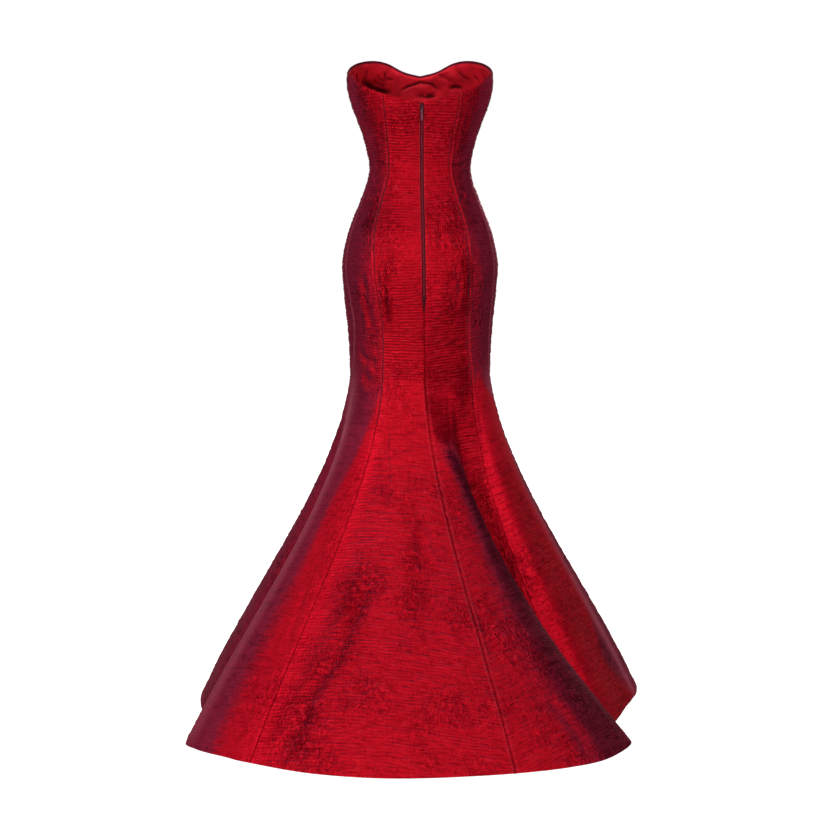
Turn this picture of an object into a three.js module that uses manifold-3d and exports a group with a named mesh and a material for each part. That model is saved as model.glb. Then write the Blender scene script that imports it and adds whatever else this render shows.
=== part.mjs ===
// A strapless mermaid gown, filled out as when it is worn and closed by a zip down the back.
// Millimetres, +Z up. The front faces -Y and the back +Y, so the wearer's left is +X.
// The origin is the centre of the waist, where the gown is held.
// The skin of the gown is one surface, gownPoint(angle, height). Seven panels are cut from it along
// seven seams, and the lining and the zip are placed from the same points.
// Angles are in degrees round the waist, 0 at the centre back, growing towards the wearer's right.
import * as THREE from 'three';
import { mergeVertices } from 'three/addons/utils/BufferGeometryUtils.js';
import Module from 'manifold-3d';

const wasm = await Module();
wasm.setup();

// Driving dimensions
const WALL = 2;
const SEAM_GAP = 0.3;
const KNEE_HEIGHT = -462;
const HEM_HEIGHT = -1180;
const BODICE_ROWS = 7;
const HIP_ROWS = 13;
const SKIRT_ROWS = 14;

// Body sections: half the width, and the depth from the axis to the back and to the front
const BODY_SECTIONS = [
  { height: -540, halfWidth: 155, back: 101, front: 108 },
  { height: -462, halfWidth: 155, back: 102, front: 108 },
  { height: -395, halfWidth: 157, back: 108, front: 110 },
  { height: -340, halfWidth: 161, back: 118, front: 112 },
  { height: -273, halfWidth: 168, back: 131, front: 115 },
  { height: -218, halfWidth: 171, back: 137, front: 119 },
  { height: -164, halfWidth: 162, back: 131, front: 120 },
  { height: -120, halfWidth: 148, back: 116, front: 116 },
  { height: -77, halfWidth: 130, back: 98, front: 107 },
  { height: -32, halfWidth: 114, back: 84, front: 96 },
  { height: 0, halfWidth: 111, back: 80, front: 92 },
  { height: 53, halfWidth: 122, back: 85, front: 104 },
  { height: 96, halfWidth: 137, back: 92, front: 121 },
  { height: 130, halfWidth: 150, back: 98, front: 129 },
  { height: 164, halfWidth: 158, back: 98, front: 127 },
  { height: 192, halfWidth: 158, back: 95, front: 121 },
  { height: 240, halfWidth: 151, back: 88, front: 112 },
];

// Bust cups, two soft rounds that the front princess seams cross
const CUP = { angleFromFront: 32, height: 132, rise: 17, angleReach: 21, heightReach: 52 };

// Top edge, by the angle to either side of the centre back
const NECKLINE = [
  { angle: 0, height: 133 },
  { angle: 12, height: 138 },
  { angle: 26, height: 147 },
  { angle: 40, height: 158 },
  { angle: 54, height: 172 },
  { angle: 66, height: 187 },
  { angle: 78, height: 195 },
  { angle: 90, height: 201 },
  { angle: 104, height: 211 },
  { angle: 120, height: 221 },
  { angle: 138, height: 226 },
  { angle: 152, height: 221 },
  { angle: 167, height: 203 },
  { angle: 180, height: 194 },
];

// Folds of the skirt: where each fold line leaves the knee, where it meets the floor, and how late it
// swings out. A lag of 1 follows the skirt's own sweep, and a larger lag swings out nearer the hem.
const FOLDS = [
  { name: 'left front lobe', angle: -132, x: 370, y: -350, lag: 0.84 },
  { name: 'left side valley', angle: -116, x: 412, y: -178, lag: 1.12 },
  { name: 'left side round', angle: -103, x: 486, y: -36, lag: 1 },
  { name: 'left front edge', angle: -92, x: 480, y: 150, lag: 1.02 },
  { name: 'left back valley', angle: -81, x: 416, y: 264, lag: 1.1 },
  { name: 'left ridge', angle: -72, x: 484, y: 371, lag: 1.12 },
  { name: 'left ridge inside', angle: -63, x: 460, y: 422, lag: 1.12 },
  { name: 'left back', angle: -50, x: 396, y: 470, lag: 1.1 },
  { name: 'left princess seam', angle: -32, x: 341, y: 507, lag: 1.07 },
  { name: 'back round left', angle: -20, x: 206, y: 572, lag: 1.07 },
  { name: 'back round', angle: -7, x: 29, y: 598, lag: 1.07 },
  { name: 'centre back seam', angle: 4, x: -189, y: 569, lag: 1.1 },
  { name: 'back round right', angle: 14, x: -340, y: 512, lag: 1.15 },
  { name: 'right ridge', angle: 24, x: -412, y: 437, lag: 1.36 },
  { name: 'right ridge flank', angle: 31, x: -437, y: 368, lag: 1.8 },
  { name: 'right valley', angle: 47.5, x: -342, y: 296, lag: 1.2 },
  { name: 'right panel', angle: 57, x: -404, y: 272, lag: 1.1 },
  { name: 'right panel outside', angle: 68, x: -455, y: 135, lag: 1.04 },
  { name: 'right edge', angle: 82, x: -493, y: 10, lag: 1 },
  { name: 'right side round', angle: 99, x: -478, y: -105, lag: 1 },
  { name: 'right side valley', angle: 115, x: -404, y: -195, lag: 1.12 },
  { name: 'right front lobe', angle: 131, x: -376, y: -346, lag: 0.84 },
  { name: 'right front valley', angle: 149, x: -236, y: -366, lag: 1.1 },
  { name: 'right centre lobe', angle: 165, x: -122, y: -452, lag: 1 },
  { name: 'centre front valley', angle: 180, x: -6, y: -414, lag: 1.2 },
  { name: 'left centre lobe', angle: 196, x: 114, y: -456, lag: 1 },
  { name: 'left front valley', angle: 212, x: 228, y: -370, lag: 1.1 },
];

// Seams, by the angle where each lies at a height
const SEAMS = {
  centreBack: [
    { height: 240, angle: 1 }, { height: 0, angle: 2 }, { height: -300, angle: 3 }, { height: -462, angle: 4 },
  ],
  backPrincessRight: [
    { height: 240, angle: 29 }, { height: 120, angle: 34 }, { height: 0, angle: 35 }, { height: -133, angle: 40 },
    { height: -218, angle: 38.6 }, { height: -380, angle: 42 }, { height: -462, angle: 47.5 },
  ],
  sideRight: [
    { height: 240, angle: 72 }, { height: 0, angle: 72 }, { height: -273, angle: 70 }, { height: -462, angle: 76 },
  ],
  frontPrincessRight: [
    { height: 240, angle: 139 }, { height: 132, angle: 148 }, { height: 0, angle: 150 },
    { height: -218, angle: 147 }, { height: -462, angle: 142 },
  ],
  frontPrincessLeft: [
    { height: 240, angle: 221 }, { height: 132, angle: 212 }, { height: 0, angle: 210 },
    { height: -218, angle: 213 }, { height: -462, angle: 218 },
  ],
  sideLeft: [
    { height: 240, angle: 288 }, { height: 0, angle: 288 }, { height: -218, angle: 290 },
    { height: -340, angle: 297 }, { height: -462, angle: 288 },
  ],
  backPrincessLeft: [
    { height: 240, angle: 332 }, { height: 120, angle: 328 }, { height: 0, angle: 322 },
    { height: -100, angle: 320 }, { height: -225, angle: 325 }, { height: -347, angle: 329.4 },
    { height: -462, angle: 328 },
  ],
};

// Panels, each from one seam to the next, with its facets across
const PANELS = [
  { name: 'centre_back_right', from: 'centreBack', to: 'backPrincessRight', columns: 10 },
  { name: 'side_back_right', from: 'backPrincessRight', to: 'sideRight', columns: 6 },
  { name: 'side_front_right', from: 'sideRight', to: 'frontPrincessRight', columns: 12 },
  { name: 'centre_front', from: 'frontPrincessRight', to: 'frontPrincessLeft', columns: 14 },
  { name: 'side_front_left', from: 'frontPrincessLeft', to: 'sideLeft', columns: 12 },
  { name: 'side_back_left', from: 'sideLeft', to: 'backPrincessLeft', columns: 7 },
  { name: 'centre_back_left', from: 'backPrincessLeft', to: 'centreBack', columns: 8 },
];

// Lining of the bodice, from just under the top edge to near the waist
const LINING = { wall: 1, edgeDrop: 1.2, rows: 6 };

// Zip at the centre back
const ZIP = { hipRows: 8, opening: 8.5, tail: 16, wall: 1.4, sunk: 0.2, topDrop: 2 };
const SLIDER = { height: 121, length: 11, width: 7.8, thick: 2.5, lift: 0.1, tailRound: 2, noseRound: 3.5 };
const BRIDGE = { reach: 3.6, leg: 0.8, width: 2, under: 5.2, top: 6 };
const PULL = { axisOut: 3.9, barRadius: 0.65, length: 26, width: 4.8, window: 4.6, slot: 2.8, thick: 1 };
const PULL_WAIST = { from: 0.3, at: 0.45, width: 0.72, tipWidth: 0.86, tipRound: 2 };
const STOP = { height: -281, length: 5, width: 6.4, thick: 1.6, lift: 0.1 };

const FABRIC = new THREE.MeshStandardMaterial({ color: 0xa41522, roughness: 0.5, metalness: 0 });
const SATIN = new THREE.MeshStandardMaterial({ color: 0x9c1119, roughness: 0.4, metalness: 0 });
const TAPE = new THREE.MeshStandardMaterial({ color: 0x3a1830, roughness: 0.7, metalness: 0 });
const METAL = new THREE.MeshStandardMaterial({ color: 0xc9b3ba, roughness: 0.3, metalness: 0.9 });

const radians = THREE.MathUtils.degToRad;
const lerp = THREE.MathUtils.lerp;

// The value of one column of a table at a key, on a smooth curve through its rows
function smoothValue(rows, keyName, valueName, key) {
  const upward = rows[0][keyName] < rows[rows.length - 1][keyName] ? rows : rows.slice().reverse();
  const last = upward.length - 1;
  let i = 0;
  while (i < last - 1 && upward[i + 1][keyName] < key) i += 1;
  const slopeAt = (k) => {
    const a = upward[Math.max(k - 1, 0)];
    const b = upward[Math.min(k + 1, last)];
    return (b[valueName] - a[valueName]) / (b[keyName] - a[keyName]);
  };
  const span = upward[i + 1][keyName] - upward[i][keyName];
  const t = THREE.MathUtils.clamp((key - upward[i][keyName]) / span, 0, 1);
  const t2 = t * t;
  const t3 = t2 * t;
  return (2 * t3 - 3 * t2 + 1) * upward[i][valueName] + (t3 - 2 * t2 + t) * span * slopeAt(i)
    + (3 * t2 - 2 * t3) * upward[i + 1][valueName] + (t3 - t2) * span * slopeAt(i + 1);
}

// The fold table with its first and last rows repeated a turn away, so that it closes on itself
const FOLDS_ROUND = [
  ...FOLDS.slice(-3).map((fold) => ({ ...fold, angle: fold.angle - 360 })),
  ...FOLDS,
  ...FOLDS.slice(0, 3).map((fold) => ({ ...fold, angle: fold.angle + 360 })),
];

// An angle brought to between -132 and 228 degrees, the range of the fold table
function wrapToFolds(angle) {
  const first = FOLDS[0].angle;
  return first + ((((angle - first) % 360) + 360) % 360);
}

// How far an angle lies from another, the short way round
function angleBetween(a, b) {
  return Math.abs((((a - b + 180) % 360) + 360) % 360 - 180);
}

// A point of the body part, from the neckline to the knee
function bodyPoint(angle, height) {
  const halfWidth = smoothValue(BODY_SECTIONS, 'height', 'halfWidth', height);
  const side = Math.cos(radians(angle)) > 0 ? 'back' : 'front';
  const depth = smoothValue(BODY_SECTIONS, 'height', side, height);
  let rise = 0;
  for (const centre of [180 - CUP.angleFromFront, 180 + CUP.angleFromFront]) {
    const across = angleBetween(angle, centre) / CUP.angleReach;
    const up = (height - CUP.height) / CUP.heightReach;
    rise += CUP.rise * Math.exp(-across * across - up * up);
  }
  const x = -Math.sin(radians(angle));
  const y = Math.cos(radians(angle));
  return new THREE.Vector3(x * (halfWidth + rise), y * (depth + rise), height);
}

// How far the skirt has swung out, from 0 at the knee to 1 at the hem
function skirtSweep(down) {
  return 0.3 * down + 1.45 * down ** 2 - 0.75 * down ** 3;
}

// A point of the skirt, between the knee section and the hem's plan
function skirtPoint(angle, height) {
  const knee = bodyPoint(angle, KNEE_HEIGHT);
  const key = wrapToFolds(angle);
  const down = (KNEE_HEIGHT - height) / (KNEE_HEIGHT - HEM_HEIGHT);
  const share = skirtSweep(down) ** smoothValue(FOLDS_ROUND, 'angle', 'lag', key);
  const x = lerp(knee.x, smoothValue(FOLDS_ROUND, 'angle', 'x', key), share);
  const y = lerp(knee.y, smoothValue(FOLDS_ROUND, 'angle', 'y', key), share);
  return new THREE.Vector3(x, y, height);
}

// A point of the gown's outside
function gownPoint(angle, height) {
  return height >= KNEE_HEIGHT ? bodyPoint(angle, height) : skirtPoint(angle, height);
}

// The directions along the cloth and out of it at a point
function gownFrame(angle, height) {
  const across = gownPoint(angle + 0.3, height).sub(gownPoint(angle - 0.3, height)).normalize();
  const up = gownPoint(angle, height + 1).sub(gownPoint(angle, height - 1)).normalize();
  return { across, up, out: across.clone().cross(up).normalize() };
}

// The top edge's height at an angle
function neckHeight(angle) {
  return smoothValue(NECKLINE, 'angle', 'height', angleBetween(angle, 0));
}

// Rows from the neckline (0) down to the hem: bodice rows share the height between the top edge and the
// waist, the others are level
const ROW_COUNT = BODICE_ROWS + HIP_ROWS + SKIRT_ROWS;
function rowHeight(row, angle) {
  if (row <= BODICE_ROWS) return neckHeight(angle) * (1 - row / BODICE_ROWS);
  if (row <= BODICE_ROWS + HIP_ROWS) return (KNEE_HEIGHT * (row - BODICE_ROWS)) / HIP_ROWS;
  return lerp(KNEE_HEIGHT, HEM_HEIGHT, (row - BODICE_ROWS - HIP_ROWS) / SKIRT_ROWS);
}

// The angle of a seam on a row, found again once because the row's height depends on the angle
function seamAngle(name, row) {
  const first = smoothValue(SEAMS[name], 'height', 'angle', rowHeight(row, SEAMS[name][0].angle));
  const height = Math.max(rowHeight(row, first), KNEE_HEIGHT);
  return smoothValue(SEAMS[name], 'height', 'angle', height);
}

// Half the gap at a seam: the centre back stands open for the zip, and closes by the next row below it
function halfGap(name, height) {
  if (name !== 'centreBack') return SEAM_GAP / 2;
  const zipEnd = rowHeight(BODICE_ROWS + ZIP.hipRows, 0);
  const closed = rowHeight(BODICE_ROWS + ZIP.hipRows + 1, 0);
  const open = THREE.MathUtils.clamp((height - closed) / (zipEnd - closed), 0, 1);
  return lerp(SEAM_GAP, ZIP.opening, open) / 2;
}

// The angles of a panel's columns on one row
function columnAngles(panel, row) {
  const from = seamAngle(panel.from, row);
  let to = seamAngle(panel.to, row);
  if (to < from) to += 360;
  return Array.from({ length: panel.columns + 1 }, (_, column) => lerp(from, to, column / panel.columns));
}

// A closed wall between an outer and an inner grid of points, both [row][column] from the top down
function wallGeometry(outer, inner) {
  const rows = outer.length;
  const columns = outer[0].length;
  const positions = [];
  for (const grid of [outer, inner]) {
    for (const row of grid) for (const point of row) positions.push(point.x, point.y, point.z);
  }
  const index = [];
  const at = (layer, row, column) => layer * rows * columns + row * columns + column;
  const quad = (a, b, c, d) => index.push(a, b, c, a, c, d);
  for (let r = 0; r < rows - 1; r += 1) {
    for (let c = 0; c < columns - 1; c += 1) {
      quad(at(0, r, c), at(0, r + 1, c), at(0, r + 1, c + 1), at(0, r, c + 1));
      quad(at(1, r, c), at(1, r, c + 1), at(1, r + 1, c + 1), at(1, r + 1, c));
    }
    quad(at(0, r, 0), at(1, r, 0), at(1, r + 1, 0), at(0, r + 1, 0));
    quad(at(0, r, columns - 1), at(0, r + 1, columns - 1), at(1, r + 1, columns - 1), at(1, r, columns - 1));
  }
  for (let c = 0; c < columns - 1; c += 1) {
    quad(at(0, 0, c), at(0, 0, c + 1), at(1, 0, c + 1), at(1, 0, c));
    quad(at(0, rows - 1, c), at(1, rows - 1, c), at(1, rows - 1, c + 1), at(0, rows - 1, c + 1));
  }
  const geometry = new THREE.BufferGeometry();
  geometry.setAttribute('position', new THREE.Float32BufferAttribute(positions, 3));
  geometry.setIndex(index);
  geometry.computeVertexNormals();
  return geometry;
}

// One panel, drawn in at each seam by half the gap there
function makePanel(panel) {
  const outer = [];
  const inner = [];
  for (let row = 0; row <= ROW_COUNT; row += 1) {
    const angles = columnAngles(panel, row);
    const points = angles.map((angle, column) => {
      const height = rowHeight(row, angle);
      const { across, out } = gownFrame(angle, height);
      const point = gownPoint(angle, height);
      if (column === 0) point.addScaledVector(across, halfGap(panel.from, height));
      if (column === panel.columns) point.addScaledVector(across, -halfGap(panel.to, height));
      return { point, out };
    });
    outer.push(points.map(({ point }) => point));
    inner.push(points.map(({ point, out }) => point.clone().addScaledVector(out, -WALL)));
  }
  const mesh = new THREE.Mesh(wallGeometry(outer, inner), FABRIC);
  mesh.name = panel.name;
  return mesh;
}

// The lining behind all the panels, from one side of the zip round to the other
function makeLining() {
  const outer = [];
  const inner = [];
  for (let row = 0; row <= LINING.rows; row += 1) {
    const angles = PANELS.flatMap((panel, i) => columnAngles(panel, row).slice(i === 0 ? 0 : 1));
    const outerRow = [];
    const innerRow = [];
    angles.forEach((angle, column) => {
      const height = rowHeight(row, angle) - (row === 0 ? LINING.edgeDrop : 0);
      const { across, out } = gownFrame(angle, height);
      const point = gownPoint(angle, height).addScaledVector(out, -WALL - SEAM_GAP);
      if (column === 0) point.addScaledVector(across, ZIP.opening);
      if (column === angles.length - 1) point.addScaledVector(across, -ZIP.opening);
      outerRow.push(point);
      innerRow.push(point.clone().addScaledVector(out, -LINING.wall));
    });
    outer.push(outerRow);
    inner.push(innerRow);
  }
  const mesh = new THREE.Mesh(wallGeometry(outer, inner), SATIN);
  mesh.name = 'bodice_lining';
  return mesh;
}

// The closed zip, a strip between the two centre-back panels
function makeZipChain() {
  const lastRow = BODICE_ROWS + ZIP.hipRows;
  const heights = Array.from({ length: lastRow + 1 }, (_, row) => rowHeight(row, 0));
  heights[0] -= ZIP.topDrop;
  heights.push(heights[lastRow] - ZIP.tail);
  const outer = [];
  const inner = [];
  for (const height of heights) {
    const angle = smoothValue(SEAMS.centreBack, 'height', 'angle', height);
    const { across, out } = gownFrame(angle, height);
    const halfWidth = halfGap('centreBack', height) - SEAM_GAP;
    const middle = gownPoint(angle, height).addScaledVector(out, -ZIP.sunk);
    const sides = [-halfWidth, 0, halfWidth].map((shift) => middle.clone().addScaledVector(across, shift));
    outer.push(sides);
    inner.push(sides.map((point) => point.clone().addScaledVector(out, -ZIP.wall)));
  }
  const mesh = new THREE.Mesh(wallGeometry(outer, inner), TAPE);
  mesh.name = 'zip_chain';
  return mesh;
}

// A three.js geometry as a solid for cutting and joining
function toSolid(geometry) {
  const bare = geometry.clone();
  bare.deleteAttribute('normal');
  bare.deleteAttribute('uv');
  const merged = mergeVertices(bare, 1e-4);
  return new wasm.Manifold(new wasm.Mesh({
    numProp: 3,
    vertProperties: new Float32Array(merged.attributes.position.array),
    triVerts: new Uint32Array(merged.index.array),
  }));
}

// A solid back as a three.js geometry
function toGeometry(solid) {
  const mesh = solid.getMesh();
  const geometry = new THREE.BufferGeometry();
  geometry.setAttribute('position', new THREE.BufferAttribute(new Float32Array(mesh.vertProperties), 3));
  geometry.setIndex(new THREE.BufferAttribute(new Uint32Array(mesh.triVerts), 1));
  geometry.computeVertexNormals();
  return geometry;
}

// A block from its size across, out of the cloth and along the zip, and its middle in the same axes
function block(width, thick, length, across, out, along) {
  return toSolid(new THREE.BoxGeometry(width, thick, length).translate(across, out, along));
}

// A plate of constant thickness from an outline in across and along
function plate(outline, thick, out) {
  const geometry = new THREE.ExtrudeGeometry(outline, { depth: thick, bevelEnabled: false, curveSegments: 5 });
  return toSolid(geometry.rotateX(Math.PI / 2).translate(0, out + thick / 2, 0));
}

// Places a hard zip part on the cloth at a height: its own Y points out of the cloth, tilted with it
function seatOnZip(mesh, height) {
  const angle = smoothValue(SEAMS.centreBack, 'height', 'angle', height);
  const { out } = gownFrame(angle, height);
  mesh.position.copy(gownPoint(angle, height));
  mesh.rotation.set(Math.atan2(out.z, out.y), 0, 0);
  return mesh;
}

// The slider: a body with blunt ends, and the bridge that the pull hangs on
function makeSlider() {
  const half = SLIDER.width / 2;
  const end = SLIDER.length / 2;
  const { tailRound, noseRound } = SLIDER;
  const outline = new THREE.Shape();
  outline.moveTo(-half, -end + tailRound);
  outline.quadraticCurveTo(-half, -end, -half + tailRound, -end);
  outline.lineTo(half - tailRound, -end);
  outline.quadraticCurveTo(half, -end, half, -end + tailRound);
  outline.lineTo(half, end - noseRound);
  outline.quadraticCurveTo(half, end, half - noseRound, end);
  outline.lineTo(-half + noseRound, end);
  outline.quadraticCurveTo(-half, end, -half, end - noseRound);
  const body = plate(outline, SLIDER.thick, SLIDER.lift + SLIDER.thick / 2);
  const legMiddle = (SLIDER.lift + BRIDGE.top) / 2;
  const legHeight = BRIDGE.top - SLIDER.lift;
  const legs = [-1, 1].map((side) => (
    block(BRIDGE.width, legHeight, BRIDGE.leg, 0, legMiddle, side * (BRIDGE.reach - BRIDGE.leg / 2))));
  const arch = block(BRIDGE.width, BRIDGE.top - BRIDGE.under, 2 * BRIDGE.reach, 0,
    (BRIDGE.top + BRIDGE.under) / 2, 0);
  const mesh = new THREE.Mesh(toGeometry(body.add(legs[0]).add(legs[1]).add(arch)), METAL);
  mesh.name = 'zip_slider';
  return seatOnZip(mesh, SLIDER.height);
}

// The pull: a slim plate with a slot round the bridge and a bar under it, hanging plumb from the bar
function makePull() {
  const half = PULL.width / 2;
  const tip = -PULL.length;
  const waist = half * PULL_WAIST.width;
  const tipHalf = half * PULL_WAIST.tipWidth;
  const outline = new THREE.Shape();
  outline.moveTo(-half, PULL.barRadius);
  outline.lineTo(-half, tip * PULL_WAIST.from);
  outline.lineTo(-waist, tip * PULL_WAIST.at);
  outline.lineTo(-tipHalf, tip + PULL_WAIST.tipRound);
  outline.quadraticCurveTo(-tipHalf, tip, 0, tip);
  outline.quadraticCurveTo(tipHalf, tip, tipHalf, tip + PULL_WAIST.tipRound);
  outline.lineTo(waist, tip * PULL_WAIST.at);
  outline.lineTo(half, tip * PULL_WAIST.from);
  outline.lineTo(half, PULL.barRadius);
  const slot = new THREE.Path();
  slot.moveTo(-PULL.slot / 2, -PULL.window);
  slot.lineTo(PULL.slot / 2, -PULL.window);
  slot.lineTo(PULL.slot / 2, PULL.barRadius);
  slot.lineTo(-PULL.slot / 2, PULL.barRadius);
  const blank = plate(outline, PULL.thick, 0);
  const cut = plate(new THREE.Shape(slot.getPoints()), PULL.thick + 1, 0);
  const bar = toSolid(new THREE.CylinderGeometry(PULL.barRadius, PULL.barRadius, PULL.width, 10)
    .rotateZ(Math.PI / 2));
  const mesh = new THREE.Mesh(toGeometry(blank.subtract(cut).add(bar)), METAL);
  mesh.name = 'zip_pull';
  seatOnZip(mesh, SLIDER.height);
  mesh.translateY(PULL.axisOut);
  mesh.rotation.set(0, 0, 0);
  return mesh;
}

// The bottom stop, clamped over the end of the coil
function makeStop() {
  const mesh = new THREE.Mesh(
    new THREE.BoxGeometry(STOP.width, STOP.thick, STOP.length).translate(0, STOP.lift + STOP.thick / 2, 0),
    METAL,
  );
  mesh.name = 'zip_bottom_stop';
  return seatOnZip(mesh, STOP.height);
}

const gown = new THREE.Group();
gown.name = 'mermaid_gown';
for (const panel of PANELS) gown.add(makePanel(panel));
gown.add(makeLining(), makeZipChain(), makeSlider(), makePull(), makeStop());

export default gown;
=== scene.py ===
"""The looks of a strapless mermaid gown of shot crinkle taffeta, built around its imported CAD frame."""

import logging
import math
from dataclasses import dataclass
from enum import Enum

import bpy
import numpy as np
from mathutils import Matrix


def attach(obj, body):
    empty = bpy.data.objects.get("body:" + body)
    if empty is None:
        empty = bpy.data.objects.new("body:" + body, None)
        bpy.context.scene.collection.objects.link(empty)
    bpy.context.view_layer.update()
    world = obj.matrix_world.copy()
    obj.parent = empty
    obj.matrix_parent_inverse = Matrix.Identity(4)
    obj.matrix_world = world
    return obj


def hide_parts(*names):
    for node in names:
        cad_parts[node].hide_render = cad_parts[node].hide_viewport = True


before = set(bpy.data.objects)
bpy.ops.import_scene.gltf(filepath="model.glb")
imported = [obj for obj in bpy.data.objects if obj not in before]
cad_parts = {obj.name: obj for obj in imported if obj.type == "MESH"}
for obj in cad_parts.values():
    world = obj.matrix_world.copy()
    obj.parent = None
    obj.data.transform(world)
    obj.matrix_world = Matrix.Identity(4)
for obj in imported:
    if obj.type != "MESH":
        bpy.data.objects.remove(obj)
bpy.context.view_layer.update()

LOG = logging.getLogger("gown")
MM = 0.001
KNEE = -462.0
HEM = -1180.0
Array = np.ndarray
Triple = tuple[float, float, float]

# Sections of the body part: height, half width, depth to the back, depth to the front, in mm
BODY_SECTIONS = (
    (-540, 155, 101, 108), (-462, 155, 102, 108), (-395, 157, 108, 110), (-340, 161, 118, 112),
    (-273, 168, 131, 115), (-218, 171, 137, 119), (-164, 162, 131, 120), (-120, 148, 116, 116),
    (-77, 130, 98, 107), (-32, 114, 84, 96), (0, 111, 80, 92), (53, 122, 85, 104),
    (96, 137, 92, 121), (130, 150, 98, 129), (164, 158, 98, 127), (192, 158, 95, 121),
    (240, 151, 88, 112),
)

# The top edge: angle from the centre back, height
NECKLINE = (
    (0, 133), (12, 138), (26, 147), (40, 158), (54, 172), (66, 187), (78, 195), (90, 201),
    (104, 211), (120, 221), (138, 226), (152, 221), (167, 203), (180, 194),
)


class Seam(Enum):
    """The seams that run from the neckline to the knee, each a run of (height, angle)."""

    CENTRE_BACK = ((240, 1), (0, 2), (-300, 3), (-462, 4))
    BACK_PRINCESS_RIGHT = (
        (240, 29), (120, 34), (0, 35), (-133, 40), (-218, 38.6), (-380, 42), (-462, 47.5),
    )
    SIDE_RIGHT = ((240, 72), (0, 72), (-273, 70), (-462, 76))
    FRONT_PRINCESS_RIGHT = ((240, 139), (132, 148), (0, 150), (-218, 147), (-462, 142))
    FRONT_PRINCESS_LEFT = ((240, 221), (132, 212), (0, 210), (-218, 213), (-462, 218))
    SIDE_LEFT = ((240, 288), (0, 288), (-218, 290), (-340, 297), (-462, 288))
    BACK_PRINCESS_LEFT = (
        (240, 332), (120, 328), (0, 322), (-100, 320), (-225, 325), (-347, 329.4), (-462, 328),
    )
    CENTRE_BACK_AGAIN = ((240, 361), (0, 362), (-300, 363), (-462, 364))


# Folds of the skirt, from the left front over the back to the right and the front: the angle at the
# knee, the place on the hem in mm, and how late the fold swings out
FOLDS = (
    (-132, 370, -350, 0.84), (-116, 412, -178, 1.12), (-103, 486, -36, 1), (-92, 480, 150, 1.02),
    (-81, 416, 264, 1.1), (-72, 484, 371, 1.12), (-63, 460, 422, 1.12), (-50, 396, 470, 1.1),
    (-32, 341, 507, 1.07), (-20, 206, 572, 1.07), (-7, 29, 598, 1.07), (4, -189, 569, 1.1),
    (14, -340, 512, 1.15), (24, -412, 437, 1.36), (31, -437, 368, 1.8), (47.5, -342, 296, 1.2),
    (57, -404, 272, 1.1), (68, -455, 135, 1.04), (82, -493, 10, 1), (99, -478, -105, 1),
    (115, -404, -195, 1.12), (131, -376, -346, 0.84), (149, -236, -366, 1.1), (165, -122, -452, 1),
    (180, -6, -414, 1.2), (196, 114, -456, 1), (212, 228, -370, 1.1),
)


def smoothstep(low: float, high: float, value: Array) -> Array:
    """A soft step from 0 at low to 1 at high."""
    t = np.clip((value - low) / (high - low), 0, 1)
    return t * t * (3 - 2 * t)


def lengths(line: Array) -> Array:
    """Lengths along rows of points, from 0 at each row's start."""
    step = np.linalg.norm(np.diff(line, axis=-2), axis=-1)
    return np.concatenate([np.zeros((*step.shape[:-1], 1)), np.cumsum(step, axis=-1)], axis=-1)


@dataclass(frozen=True)
class SmoothTable:
    """A column of a table, read on a smooth curve through its rows."""

    keys: tuple[float, ...]
    values: tuple[float, ...]

    def at(self, key: Array) -> Array:
        """Reads the curve.

        Args:
            key: where to read it, any shape.

        Returns:
            The values there, the same shape.
        """
        order = np.argsort(self.keys)
        keys = np.asarray(self.keys, float)[order]
        values = np.asarray(self.values, float)[order]
        last = len(keys) - 1
        low = np.maximum(np.arange(last + 1) - 1, 0)
        high = np.minimum(np.arange(last + 1) + 1, last)
        slopes = (values[high] - values[low]) / (keys[high] - keys[low])
        i = np.clip(np.searchsorted(keys, key) - 1, 0, last - 1)
        span = keys[i + 1] - keys[i]
        t = np.clip((key - keys[i]) / span, 0, 1)
        t2, t3 = t * t, t * t * t
        return ((2 * t3 - 3 * t2 + 1) * values[i] + (t3 - 2 * t2 + t) * span * slopes[i]
                + (3 * t2 - 2 * t3) * values[i + 1] + (t3 - t2) * span * slopes[i + 1])


def column(rows: tuple, key: int, value: int) -> SmoothTable:
    """One column of a table of plain rows, by the places of its key and its value."""
    return SmoothTable(tuple(r[key] for r in rows), tuple(r[value] for r in rows))


@dataclass(frozen=True)
class Bust:
    """The rise of the cloth over each side of the bust, in mm and degrees."""

    from_front: float = 32
    height: float = 132
    rise: float = 17
    angle_reach: float = 21
    height_reach: float = 52

    def at(self, angle: Array, height: Array) -> Array:
        """How far the cloth stands out at points given by angle and height."""
        total = 0
        for centre in (180 - self.from_front, 180 + self.from_front):
            across = (np.abs((angle - centre + 180) % 360 - 180)) / self.angle_reach
            up = (height - self.height) / self.height_reach
            total = total + self.rise * np.exp(-across * across - up * up)
        return total


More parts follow.
